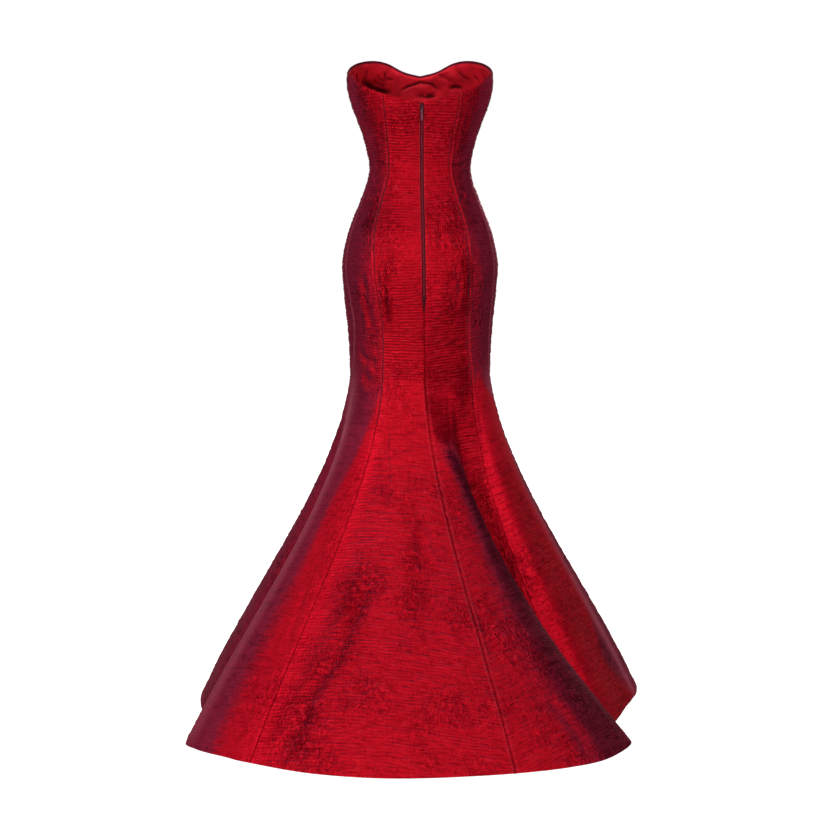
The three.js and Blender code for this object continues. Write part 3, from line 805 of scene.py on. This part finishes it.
        under = np.flatnonzero(plan["joined"])
        places[under, 0] -= (self.allowance * across + self.tuck * out)[under, 0]
        # The hollow mark: the crinkle's low places, which the material darkens as painted shade
        hollow = np.clip(0.5 - crinkle / 1.3, 0, 1)
        # The ridge mark: painted highlights along the raised seams
        marks = {"hollow": hollow, "tangle": tangle, "skirt": skirt, "rib": phase,
                 "seam": sum(self.seam_dark(seam, gap, height) for seam, gap, _ in seams),
                 "ridge": sum(self.seam_highlight(seam, gap, height) for seam, gap, _ in seams)}
        # The zones' marks: painted plum sheen, painted light, painted shade and painted highlight lines; the
        # highlight lines join the seams' painted highlights
        for name in ("plum", "painted_light", "painted_shade", "pale"):
            marks[name] = np.max([getattr(tone, name) * tone.cover(angle, height)
                                  for tone in TONES if getattr(tone, name)], axis=0)
        marks["ridge"] = np.maximum(marks["ridge"], marks.pop("pale"))
        flat = np.stack([u + self.cut_apart * (self.seed % 7), v], -1)
        piece = sheet_from_grid(f"taffeta_{self.node}", places, flat, marks, self.wall)
        u, v = u * MM, v * MM
        cells = np.abs((u[1:, 1:] - u[:-1, :-1]) * (v[1:, :-1] - v[:-1, 1:])
                       - (u[1:, :-1] - u[:-1, 1:]) * (v[1:, 1:] - v[:-1, :-1])) / 2
        declare(piece, self.node, (float(np.ptp(u)), float(np.ptp(v))), float(cells.sum()))
        return piece


PANELS = (
    TaffetaPanel("centre_back_right", Seam.CENTRE_BACK, Seam.BACK_PRINCESS_RIGHT, 50, 11),
    TaffetaPanel("side_back_right", Seam.BACK_PRINCESS_RIGHT, Seam.SIDE_RIGHT, 44, 23),
    TaffetaPanel("side_front_right", Seam.SIDE_RIGHT, Seam.FRONT_PRINCESS_RIGHT, 48, 37),
    TaffetaPanel("centre_front", Seam.FRONT_PRINCESS_RIGHT, Seam.FRONT_PRINCESS_LEFT, 56, 41),
    TaffetaPanel("side_front_left", Seam.FRONT_PRINCESS_LEFT, Seam.SIDE_LEFT, 48, 59),
    TaffetaPanel("side_back_left", Seam.SIDE_LEFT, Seam.BACK_PRINCESS_LEFT, 44, 67),
    TaffetaPanel("centre_back_left", Seam.BACK_PRINCESS_LEFT, Seam.CENTRE_BACK_AGAIN, 48, 73),
)


# Hollows of the loose satin, as creases with their strength in place of a depth: each flattens the fold
# there and darkens the satin as painted shade
LINING_HOLLOWS = creases(
    ((197, 160, 190, 172, 180, 181, 171, 178, 163, 160), 2.6, 1.0),
    ((238, 186, 226, 175, 212, 163, 200, 156), 8.0, 1.0), ((222, 184, 214, 178, 207, 172), 3.0, 0.7),
    ((210, 206, 209, 190, 201, 186), 2.6, 0.8), ((218, 200, 214, 188, 206, 180), 2.4, 0.55),
    ((176, 153, 170, 150, 184, 151), 5.0, 0.8), ((158, 168, 151, 173, 144, 168), 4.5, 1.0),
    ((166, 199, 158, 190, 154, 182), 2.6, 0.6), ((148, 205, 142, 192, 136, 186), 2.8, 0.6),
    ((132, 196, 126, 186, 124, 176), 3.0, 0.6), ((232, 208, 229, 196, 230, 186), 3.0, 0.6),
    ((246, 200, 242, 186, 240, 172), 4.0, 0.7), ((112, 196, 114, 182, 118, 172), 4.0, 0.7),
    ((214, 146, 204, 134, 190, 127), 5.0, 0.7), ((166, 140, 154, 131, 142, 130), 5.0, 0.7),
    ((222, 120, 214, 96, 216, 70), 6.0, 0.6), ((140, 116, 146, 92, 142, 66), 6.0, 0.6),
    ((60, 150, 66, 120, 60, 90), 5.0, 0.6), ((300, 150, 294, 118, 300, 84), 5.0, 0.6),
    ((30, 110, 34, 84, 28, 56), 5.0, 0.5), ((328, 112, 332, 86, 326, 58), 5.0, 0.5),
)


@dataclass
class BodiceLining:
    """The loose satin lining inside the bodice, open at the zip, with its listed folds."""

    columns: int = 250
    rows: int = 66
    set_in: float = 3.1
    wall: float = 0.7
    edge_drop: float = 0.4
    slack: float = 1.1
    rim: float = 4.0
    tall: float = 190

    def build(self, form: GownForm) -> bpy.types.Object:
        """Makes the lining.

        Args:
            form: the gown's surface.

        Returns:
            The lining's object.
        """
        share = np.linspace(LINING_SHARE, 1, self.rows)[:, None]
        fine = np.linspace(2, 362, 721)[None, :]
        arc = lengths(form.points(fine, form.neck(fine) * share - self.edge_drop))
        run = arc[:, -1:] - 2 * ZIP.opening
        place = ZIP.opening + run * np.linspace(1, 0, self.columns)
        angle = np.stack([np.interp(p, s, fine[0]) for p, s in zip(place, arc)])
        height = form.neck(angle) * share - self.edge_drop
        point, _, _, out = form.frames(angle, height)
        # The hollows' strength: flattens the folds here, and the satin's material paints it as shade
        hollow = np.max([c.depth * c.cover(form, point) for c in LINING_HOLLOWS], axis=0)
        loose = Noise(5).at(place / 30, height / 24) + 0.5 * Noise(6).at(place / 13, height / 15)
        fold = np.maximum(self.slack * (1.9 + 1.3 * loose) - 3.4 * hollow, 0)
        below = (1 - share) * self.tall
        ease = smoothstep(0, 9, below) * smoothstep(0, 10, np.minimum(
            place - ZIP.opening, arc[:, -1:] - ZIP.opening - place))
        inward = self.set_in * (1 - 0.42 * smoothstep(4, 0, below)) + fold * ease
        rim = np.broadcast_to(smoothstep(self.rim + 0.6, self.rim - 0.6, below), angle.shape)
        flat = np.stack([-place, height], -1)
        piece = sheet_from_grid("satin_lining", point - inward[..., None] * out, flat,
                                {"hollow": hollow, "rim": rim}, self.wall)
        declare(piece, "bodice_lining",
                (float(run.max()) * MM, float(np.ptp(height)) * MM),
                float(run.mean() * (height[-1] - height[0]).mean()) * MM * MM)
        return piece


@dataclass
class ZipChain:
    """The closed zip: a woven tape behind, with the coil's teeth meeting along the middle."""

    tape_sunk: float = 1.6
    tape_under: float = 2.6
    tape_wall: float = 0.5
    tooth_radius: float = 0.42
    tooth_length: float = 2.7
    tooth_pitch: float = 1.35
    tooth_sunk: float = 0.70
    tooth_aside: float = 0.86
    tooth_lean: float = 0.16

    def centre(self, form: GownForm, height: Array) -> tuple[Array, ...]:
        """The middle line of the zip and its directions at the given heights."""
        return form.frames(column(Seam.CENTRE_BACK.value, 0, 1).at(height), height)

    def tape(self, form: GownForm) -> bpy.types.Object:
        """Makes the tape as a thin sheet behind the gap between the panels.

        Args:
            form: the gown's surface.

        Returns:
            The tape's object.
        """
        height = np.linspace(ZIP.closed - ZIP.tail, float(form.neck(0.0)) - ZIP.top_drop, 260)
        point, across, _, out = self.centre(form, height)
        half = ZIP.half_gap(height) + self.tape_under
        t = np.linspace(-1, 1, 9)
        shift = half[:, None] * t
        cord = 0.18 * np.cos(3 * math.pi * t)[None, :]
        places = (point[:, None] + shift[..., None] * across[:, None]
                  - (self.tape_sunk - cord)[..., None] * out[:, None])
        flat = np.stack([shift, np.broadcast_to(height[:, None], shift.shape)], -1)
        piece = sheet_from_grid("zip_tape", places, flat, {}, self.tape_wall)
        step = np.linalg.norm(np.diff(point, axis=0), axis=-1)
        declare(piece, "zip_chain", (float(2 * half.max() * MM), float(step.sum() * MM)),
                float(np.sum(step * (half[1:] + half[:-1])) * MM * MM))
        return piece

    def tooth(self) -> bpy.types.Object:
        """Makes one tooth of the coil, a small bar with rounded ends along X."""
        deselect()
        bpy.ops.mesh.primitive_cylinder_add(vertices=6, radius=self.tooth_radius * MM,
                                            depth=self.tooth_length * MM, rotation=(0, math.pi / 2, 0))
        tooth = bpy.context.active_object
        bpy.ops.object.transform_apply()
        apply_modifier(tooth, "BEVEL", width=0.18 * MM, segments=1, limit_method="ANGLE",
                       angle_limit=math.radians(70))
        return tooth

    def coil(self, form: GownForm) -> bpy.types.Object:
        """Makes the two rows of teeth as one piece.

        Args:
            form: the gown's surface.

        Returns:
            The coil's object.
        """
        model = self.tooth()
        count = len(model.data.vertices)
        shape = np.empty(count * 3)
        model.data.vertices.foreach_get("co", shape)
        shape = shape.reshape(-1, 3) / MM
        top = float(form.neck(0.0)) - ZIP.top_drop - 1.5
        heights = np.arange(ZIP.end + 4, top, self.tooth_pitch)
        copies = []
        for side, start in ((-1, 0.0), (1, self.tooth_pitch / 2)):
            point, across, up, out = self.centre(form, heights + start)
            lean = across + self.tooth_lean * side * up
            lean /= np.linalg.norm(lean, axis=-1, keepdims=True)
            middle = point + self.tooth_aside * side * across - self.tooth_sunk * out
            copies.append(middle[:, None] + shape[None, :, :1] * lean[:, None]
                          + shape[None, :, 1:2] * out[:, None] + shape[None, :, 2:] * up[:, None])
        places = np.concatenate(copies).reshape(-1, 3)
        faces = [tuple(p.vertices) for p in model.data.polygons]
        bpy.data.objects.remove(model)
        number = len(places) // count
        mesh = bpy.data.meshes.new("zip_coil")
        mesh.from_pydata((places * MM).tolist(), [],
                         [tuple(i + k * count for i in f) for k in range(number) for f in faces])
        coil = bpy.data.objects.new("zip_coil", mesh)
        bpy.context.scene.collection.objects.link(coil)
        deselect()
        coil.select_set(True)
        bpy.context.view_layer.objects.active = coil
        bpy.ops.object.mode_set(mode="EDIT")
        bpy.ops.mesh.select_all(action="SELECT")
        bpy.ops.mesh.normals_make_consistent(inside=False)
        bpy.ops.object.mode_set(mode="OBJECT")
        bpy.ops.object.shade_smooth_by_angle(angle=math.radians(50))
        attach(coil, "gown")
        LOG.info("zip_coil: %d teeth", number)
        return coil


class Signal:
    """A value in a material, on which sums can be written as plain Python."""

    def __init__(self, bench: "Bench", socket: bpy.types.NodeSocket) -> None:
        """Wraps an output socket."""
        self.bench, self.socket = bench, socket

    def __add__(self, other: "Signal | float") -> "Signal":
        """This plus the other."""
        return self.bench.sum("ADD", self, other)

    def __sub__(self, other: "Signal | float") -> "Signal":
        """This less the other."""
        return self.bench.sum("SUBTRACT", self, other)

    def __rsub__(self, other: float) -> "Signal":
        """The other less this."""
        return self.bench.sum("SUBTRACT", other, self)

    def __mul__(self, other: "Signal | float") -> "Signal":
        """This times the other."""
        return self.bench.sum("MULTIPLY", self, other)

    def __abs__(self) -> "Signal":
        """This without its sign."""
        return self.bench.sum("ABSOLUTE", self, 0)

    __radd__ = __add__
    __rmul__ = __mul__

    def step(self, low: float, high: float) -> "Signal":
        """A soft step from 0 at low to 1 at high; high may be the lower of the two."""
        return self.bench.value("ShaderNodeMapRange", {"Value": self, "From Min": low, "From Max": high},
                                interpolation_type="SMOOTHSTEP")

    def clamp(self) -> "Signal":
        """This kept between 0 and 1."""
        return self.bench.value("ShaderNodeClamp", {"Value": self})


class Bench:
    """A new material and its node tree."""

    def __init__(self, name: str) -> None:
        """Starts an empty material of that name."""
        self.material = bpy.data.materials.new(name)
        self.material.use_nodes = True
        self.tree = self.material.node_tree
        self.tree.nodes.clear()

    def node(self, kind: str, inputs: dict | None = None, **settings: object) -> bpy.types.Node:
        """Adds a node.

        Args:
            kind: the node's type.
            inputs: values or signals by the names or numbers of its sockets.
            settings: its own settings, set first.

        Returns:
            The node.
        """
        made = self.tree.nodes.new(kind)
        for name, value in settings.items():
            setattr(made, name, value)
        for name, value in (inputs or {}).items():
            if isinstance(value, Signal):
                self.tree.links.new(value.socket, made.inputs[name])
            else:
                made.inputs[name].default_value = value
        return made

    def value(self, kind: str, inputs: dict | None = None, output: int | str = 0,
              **settings: object) -> Signal:
        """Adds a node and hands over one of its outputs.

        Args:
            kind: the node's type.
            inputs: values or signals by the names or numbers of its sockets.
            output: the output's name or number.
            settings: its own settings.

        Returns:
            The output.
        """
        return Signal(self, self.node(kind, inputs, **settings).outputs[output])

    def sum(self, operation: str, a: "Signal | float", b: "Signal | float") -> Signal:
        """A Math node on two values or signals."""
        return self.value("ShaderNodeMath", {0: a, 1: b}, operation=operation)

    def mark(self, name: str) -> Signal:
        """A named value of the mesh."""
        return self.value("ShaderNodeAttribute", output="Fac", attribute_name=name)

    def parts(self, vector: Signal) -> tuple[Signal, ...]:
        """The three parts of a vector."""
        made = self.node("ShaderNodeSeparateXYZ", {0: vector})
        return tuple(Signal(self, made.outputs[i]) for i in range(3))

    def cut(self) -> tuple[Signal, ...]:
        """The place on the flat cut, across and along, in metres."""
        return self.parts(self.value("ShaderNodeUVMap", uv_map="cut"))[:2]

    def place(self) -> tuple[Signal, ...]:
        """The place on the object, along its three axes, in metres."""
        return self.parts(self.value("ShaderNodeTexCoord", output="Object"))

    def noise(self, x: Signal, y: Signal, layer: float, detail: float = 2.0, bend: float = 0.0) -> Signal:
        """Noise over two signals, one cell for each whole number.

        Args:
            x: place across, in cells.
            y: place along, in cells.
            layer: which of many patterns.
            detail: how much finer noise is added.
            bend: how much the pattern is distorted.

        Returns:
            The noise, from 0 to 1.
        """
        place = self.value("ShaderNodeCombineXYZ", {0: x, 1: y, 2: layer})
        return self.value("ShaderNodeTexNoise", {"Vector": place, "Scale": 1.0, "Detail": detail,
                                                 "Roughness": 0.5, "Distortion": bend}, "Fac")

    def blend(self, share: "Signal | float", a: "Signal | tuple", b: "Signal | tuple") -> Signal:
        """A colour between two others, by a share from 0 to 1."""
        a, b = (c if isinstance(c, Signal) else (*c, 1) for c in (a, b))
        return self.value("ShaderNodeMix", {0: share, 6: a, 7: b}, 2, data_type="RGBA")

    def bump(self, height: Signal) -> Signal:
        """A normal from a height in mm."""
        return self.value("ShaderNodeBump", {"Height": height, "Strength": 1.0, "Distance": MM})

    def surface(self, inputs: dict) -> Signal:
        """A principled shader, from its inputs by name."""
        return self.value("ShaderNodeBsdfPrincipled", inputs)

    def finish(self, shader: Signal) -> bpy.types.Material:
        """Links the shader to the output and hands over the material."""
        self.node("ShaderNodeOutputMaterial", {"Surface": shader})
        return self.material


@dataclass(frozen=True)
class ShotTaffeta:
    """Crinkled taffeta woven from red and navy threads: red to the front, plum where it turns away."""

    # The face's red, with a deep red for painted shade, a brighter red for painted light and a paler red for
    # painted highlights; the plum, with a dark plum for painted shade and the edge colour for painted
    # highlights on it; the grazing and haze tints go to the shader's specular and sheen
    red: Triple = (0.475, 0.0050, 0.0138)
    deep_red: Triple = (0.17, 0.0010, 0.0050)
    bright_red: Triple = (0.59, 0.0052, 0.0180)
    highlight_red: Triple = (0.62, 0.0300, 0.0500)
    plum: Triple = (0.270, 0.0180, 0.0500)
    dark_plum: Triple = (0.050, 0.0020, 0.0090)
    edge: Triple = (0.700, 0.1900, 0.2600)
    grazing: Triple = (0.55, 0.05, 0.10)
    haze: Triple = (0.85, 0.30, 0.50)

    def material(self) -> bpy.types.Material:
        """Makes the material."""
        bench = Bench("shot_taffeta")
        u, v = bench.cut()
        skirt, tangle_here, painted_shade, hollow, seam, ridge, painted_light, plum_here = (bench.mark(name) for name in (
            "skirt", "tangle", "painted_shade", "hollow", "seam", "ridge", "painted_light", "plum"))
        rib = abs(bench.sum("SINE", bench.mark("rib") * math.pi, 0))
        strength = bench.noise(u * 24, v * 170, 0.3)
        loose = bench.noise(u * 46, v * 230, 7.7)
        crumple = bench.noise(u * 125, v * 74, 3.1, detail=1.0, bend=1.2)
        upright = bench.noise(u * 330, v * 60, 8.3, bend=0.5)
        thread = bench.noise(u * 500, v * 1500, 1.9, detail=1.0)
        patches = bench.noise(u * 12, v * 8.0, 5.5, detail=3.0)
        tangle = (patches.step(0.50, 0.66) * 0.75 + tangle_here).clamp()
        relief = (rib * 0.4 + loose * (1.5 + skirt * 0.9)) * (1.0 - tangle * 0.4)
        normal = bench.bump(relief + crumple * (tangle * 3.0 + 0.6) + upright * 0.5 + thread * 0.12)
        # Painted shade of the crinkle: dark lines in the rib grooves and the loose crinkle's low places
        groove = rib.step(0.55, 0.08) * strength.step(0.38, 0.62) * (0.08 + skirt * 0.18)
        line = (groove + loose.step(0.50, 0.28) * (0.30 + skirt * 0.24)).clamp()
        # Painted shade and highlight of the crumple's wrinkles: dark veins and low places, lighter high
        # places, strongest where tangled
        veins = abs(crumple - 0.5).step(0.055, 0.0)
        crushed = (veins * 0.95 + crumple.step(0.45, 0.36) * 0.7 - crumple.step(0.54, 0.66) * 0.45) * (
            tangle * 0.95 + 0.12)
        turn = bench.value("ShaderNodeLayerWeight", {"Blend": 0.5, "Normal": normal}, "Facing")
        seen = turn.step(0.03, 0.26) * 0.6 + 0.4
        # How far the red goes to deep red: painted shade from the crinkle, the hollows, the crumple, the
        # upright dashes, the zones and where tangled, with the seams' dark lines; the zones' painted light
        # takes some away
        shade = (line * 0.66 + hollow * 0.17 + crushed * 0.6 + upright.step(0.46, 0.30) * 0.32
                 + seam * 0.75 + painted_shade * seen * 0.75 + tangle * 0.06 - painted_light * 0.14 - 0.06).clamp()
        # Plum where the cloth turns away and in the zones of painted plum sheen; the painted light keeps it
        # red
        turned = (turn.step(0.13, 0.46) * (1.0 - painted_light * 0.9) + plum_here * seen).clamp()
        # The zones' painted light brightens the red; the crinkle's crests and the seam ridges get a painted
        # highlight
        lit_red = bench.blend(painted_light, self.red, self.bright_red)
        crest_highlight = loose.step(0.58, 0.74) * 0.22
        red = bench.blend(ridge * 0.5 + crest_highlight, bench.blend(shade, lit_red, self.deep_red), self.highlight_red)
        # The plum, under the same painted shade, with a painted highlight along the seam ridges
        plum = bench.blend(ridge * 0.7, bench.blend(shade, self.plum, self.dark_plum), self.edge)
        gloss = 0.40 + shade * 0.18 + thread * 0.1
        cloth = {"Roughness": gloss, "Normal": normal, "Metallic": 0.5, "Specular Tint": (*self.grazing, 1)}
        face = bench.surface({"Base Color": red, "Specular IOR Level": 0.04, **cloth})
        side = bench.surface({"Base Color": plum, "Specular IOR Level": 0.05, "Sheen Weight": 0.05,
                              "Sheen Roughness": 0.35, "Sheen Tint": (*self.haze, 1), **cloth})
        return bench.finish(bench.value("ShaderNodeMixShader", {0: turned * 0.92, 1: face, 2: side}))


@dataclass(frozen=True)
class LiningSatin:
    """Smooth red satin with a soft gloss."""

    red: Triple = (0.60, 0.009, 0.022)
    deep_red: Triple = (0.06, 0.0005, 0.002)
    plum: Triple = (0.060, 0.003, 0.012)

    def material(self) -> bpy.types.Material:
        """Makes the material."""
        bench = Bench("lining_satin")
        u, v = bench.cut()
        cloud = bench.noise(u * 40, v * 40, 2.2)
        thread = bench.noise(u * 300, v * 2200, 4.4, detail=1.0)
        # The hollows darken the satin as painted shade in its folds; the cloud adds darker patches
        shade = (bench.mark("hollow") + cloud.step(0.35, 0.75) * 0.34).clamp()
        colour = bench.blend(bench.mark("rim"), bench.blend(shade, self.red, self.deep_red), self.plum)
        return bench.finish(bench.surface({
            "Base Color": colour, "Roughness": 0.42 + thread * 0.12, "Metallic": 0.4,
            "Normal": bench.bump(cloud * 1.2 + thread * 0.03), "Specular IOR Level": 0.1}))


@dataclass(frozen=True)
class ZipPlastic:
    """The dark woven tape, or the paler plum coil that is moulded on it."""

    name: str
    light: Triple
    dark: Triple
    roughness: float
    ribs: float

    def material(self) -> bpy.types.Material:
        """Makes the material on Object coordinates, so that it serves every zip piece."""
        bench = Bench(self.name)
        x, _, z = bench.place()
        weave = bench.noise(x * self.ribs, z * self.ribs * 2, 0.7, detail=1.0)
        return bench.finish(bench.surface({
            "Base Color": bench.blend(weave.step(0.35, 0.65), self.dark, self.light),
            "Roughness": self.roughness + weave * 0.1, "Normal": bench.bump(weave * 0.12),
            "Specular IOR Level": 0.15}))


@dataclass(frozen=True)
class PlatedMetal:
    """Satin plated zinc with fine brushing and slightly worn high spots."""

    bright: Triple = (0.16, 0.045, 0.065)
    dull: Triple = (0.05, 0.012, 0.022)

    def material(self) -> bpy.types.Material:
        """Makes the material on Object coordinates."""
        bench = Bench("plated_metal")
        x, y, z = bench.place()
        brush = bench.noise(x * 4200, (y + z) * 260, 1.3)
        cloud = bench.noise(x * 420, z * 420, 6.1)
        return bench.finish(bench.surface({
            "Base Color": bench.blend((brush * 0.5 + cloud * 0.5).step(0.35, 0.62), self.dull, self.bright),
            "Roughness": 0.22 + brush * 0.22, "Normal": bench.bump(brush * 0.02), "Metallic": 1.0}))


@dataclass(frozen=True)
class StudioPaper:
    """The pale floor."""

    white: Triple = (0.93, 0.93, 0.93)
    glow: float = 0.78

    def material(self) -> bpy.types.Material:
        """Makes the material."""
        bench = Bench("studio_paper")
        return bench.finish(bench.surface({
            "Base Color": (*self.white, 1), "Roughness": 0.9, "Specular IOR Level": 0.1,
            "Emission Color": (1, 1, 1, 1), "Emission Strength": self.glow}))


def put_on(piece: bpy.types.Object, material: bpy.types.Material) -> None:
    """Gives a piece one material all over."""
    piece.data.materials.clear()
    piece.data.materials.append(material)


def hang(data: bpy.types.ID, place: Triple, turn: Triple) -> bpy.types.Object:
    """Puts a lamp or a camera in the scene.

    Args:
        data: the lamp or the camera.
        place: where it hangs, in metres.
        turn: its rotation.

    Returns:
        The object that holds it.
    """
    holder = bpy.data.objects.new(data.name, data)
    bpy.context.scene.collection.objects.link(holder)
    holder.location, holder.rotation_euler = place, turn
    return holder


# The soft lights: name, place, height of the point that it faces, width and height in metres, watts
LIGHTS = (
    ("key_left", (2.7, 3.6, 0.8), -0.4, (1.4, 2.0), 88),
    ("key_right", (-2.5, 3.7, 0.7), -0.4, (1.4, 2.0), 50),
    ("key_middle", (0.2, 4.6, 1.0), -0.4, (1.2, 1.2), 40),
    ("top", (0.0, 1.2, 3.2), -0.5, (3.0, 3.0), 30),
    ("front", (-0.9, -4.2, 1.1), -0.4, (2.0, 2.4), 80),
)


@dataclass
class Studio:
    """The pale floor, the soft lights and the camera at the photograph's angle."""

    camera_place: Triple = (0.0, 4.0, 0.04)
    camera_tilt: float = 8.57
    lens: float = 77.91
    floor_height: float = HEM * MM - 0.0016
    floor_size: float = 60.0
    sky_glow: float = 0.30
    light_colour: Triple = (1.0, 0.99, 0.98)

    def floor(self) -> None:
        """Lays the floor just under the hem."""
        deselect()
        bpy.ops.mesh.primitive_plane_add(size=self.floor_size, location=(0, 0, self.floor_height))
        floor = bpy.context.active_object
        floor.name = "studio_floor"
        bpy.ops.object.transform_apply()
        put_on(floor, StudioPaper().material())
        floor.visible_diffuse = floor.visible_glossy = floor.visible_shadow = False

    def lights(self) -> None:
        """Hangs the soft lights."""
        for name, place, aim, size, power in LIGHTS:
            lamp = bpy.data.lights.new(name, "AREA")
            lamp.shape = "RECTANGLE"
            lamp.size, lamp.size_y = size
            lamp.energy, lamp.color = power, self.light_colour
            x, y, z = -place[0], -place[1], aim - place[2]
            hang(lamp, place, (math.atan2(math.hypot(x, y), -z), 0, math.atan2(y, x) - math.pi / 2))

    def sky(self) -> None:
        """Sets the even pale light from all round, with a white backdrop for the camera."""
        world = bpy.data.worlds.new("studio")
        bpy.context.scene.world = world
        world.use_nodes = True
        tree = world.node_tree
        tree.nodes.clear()
        ray = tree.nodes.new("ShaderNodeLightPath")
        mix = tree.nodes.new("ShaderNodeMixShader")
        out = tree.nodes.new("ShaderNodeOutputWorld")
        tree.links.new(ray.outputs["Is Camera Ray"], mix.inputs[0])
        for place, glow in ((1, self.sky_glow), (2, 1.0)):
            side = tree.nodes.new("ShaderNodeBackground")
            side.inputs[0].default_value = (1, 1, 1, 1)
            side.inputs[1].default_value = glow
            tree.links.new(side.outputs[0], mix.inputs[place])
        tree.links.new(mix.outputs[0], out.inputs[0])

    def camera(self) -> None:
        """Sets up the camera."""
        lens = bpy.data.cameras.new("camera")
        lens.lens = self.lens
        lens.sensor_width = 36
        bpy.context.scene.camera = hang(lens, self.camera_place,
                                        (math.radians(90 - self.camera_tilt), 0, math.pi))

    def build(self) -> None:
        """Makes the whole studio."""
        self.floor()
        self.sky()
        self.camera()
        self.lights()
        bpy.context.scene.view_settings.view_transform = "Standard"
        bpy.context.scene.view_settings.look = "None"
        LOG.info("studio: floor, lights, camera")


class Gown:
    """The whole gown, piece by piece."""

    def __init__(self) -> None:
        """Sets up the form and the rows."""
        self.form = GownForm()
        self.levels = Levels(self.form)

    def build(self) -> None:
        """Makes and dresses every piece."""
        taffeta = ShotTaffeta().material()
        for panel in PANELS:
            put_on(panel.build(self.form, self.levels), taffeta)
        put_on(BodiceLining().build(self.form), LiningSatin().material())
        chain = ZipChain()
        put_on(chain.tape(self.form),
               ZipPlastic("zip_tape", (0.08, 0.002, 0.006), (0.03, 0.001, 0.003), 0.7, 2400).material())
        put_on(chain.coil(self.form),
               ZipPlastic("zip_coil", (0.32, 0.014, 0.040), (0.13, 0.004, 0.012), 0.5, 900).material())
        metal = PlatedMetal().material()
        for name in ("zip_slider", "zip_pull", "zip_bottom_stop"):
            put_on(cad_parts[name], metal)
            LOG.info("%s: CAD node with plated metal", name)


def main() -> None:
    """Builds the gown and the studio, and notes the sizes."""
    logging.basicConfig(level=logging.INFO, format="%(message)s")
    Gown().build()
    Studio().build()


if __name__ == "__main__":
    main()
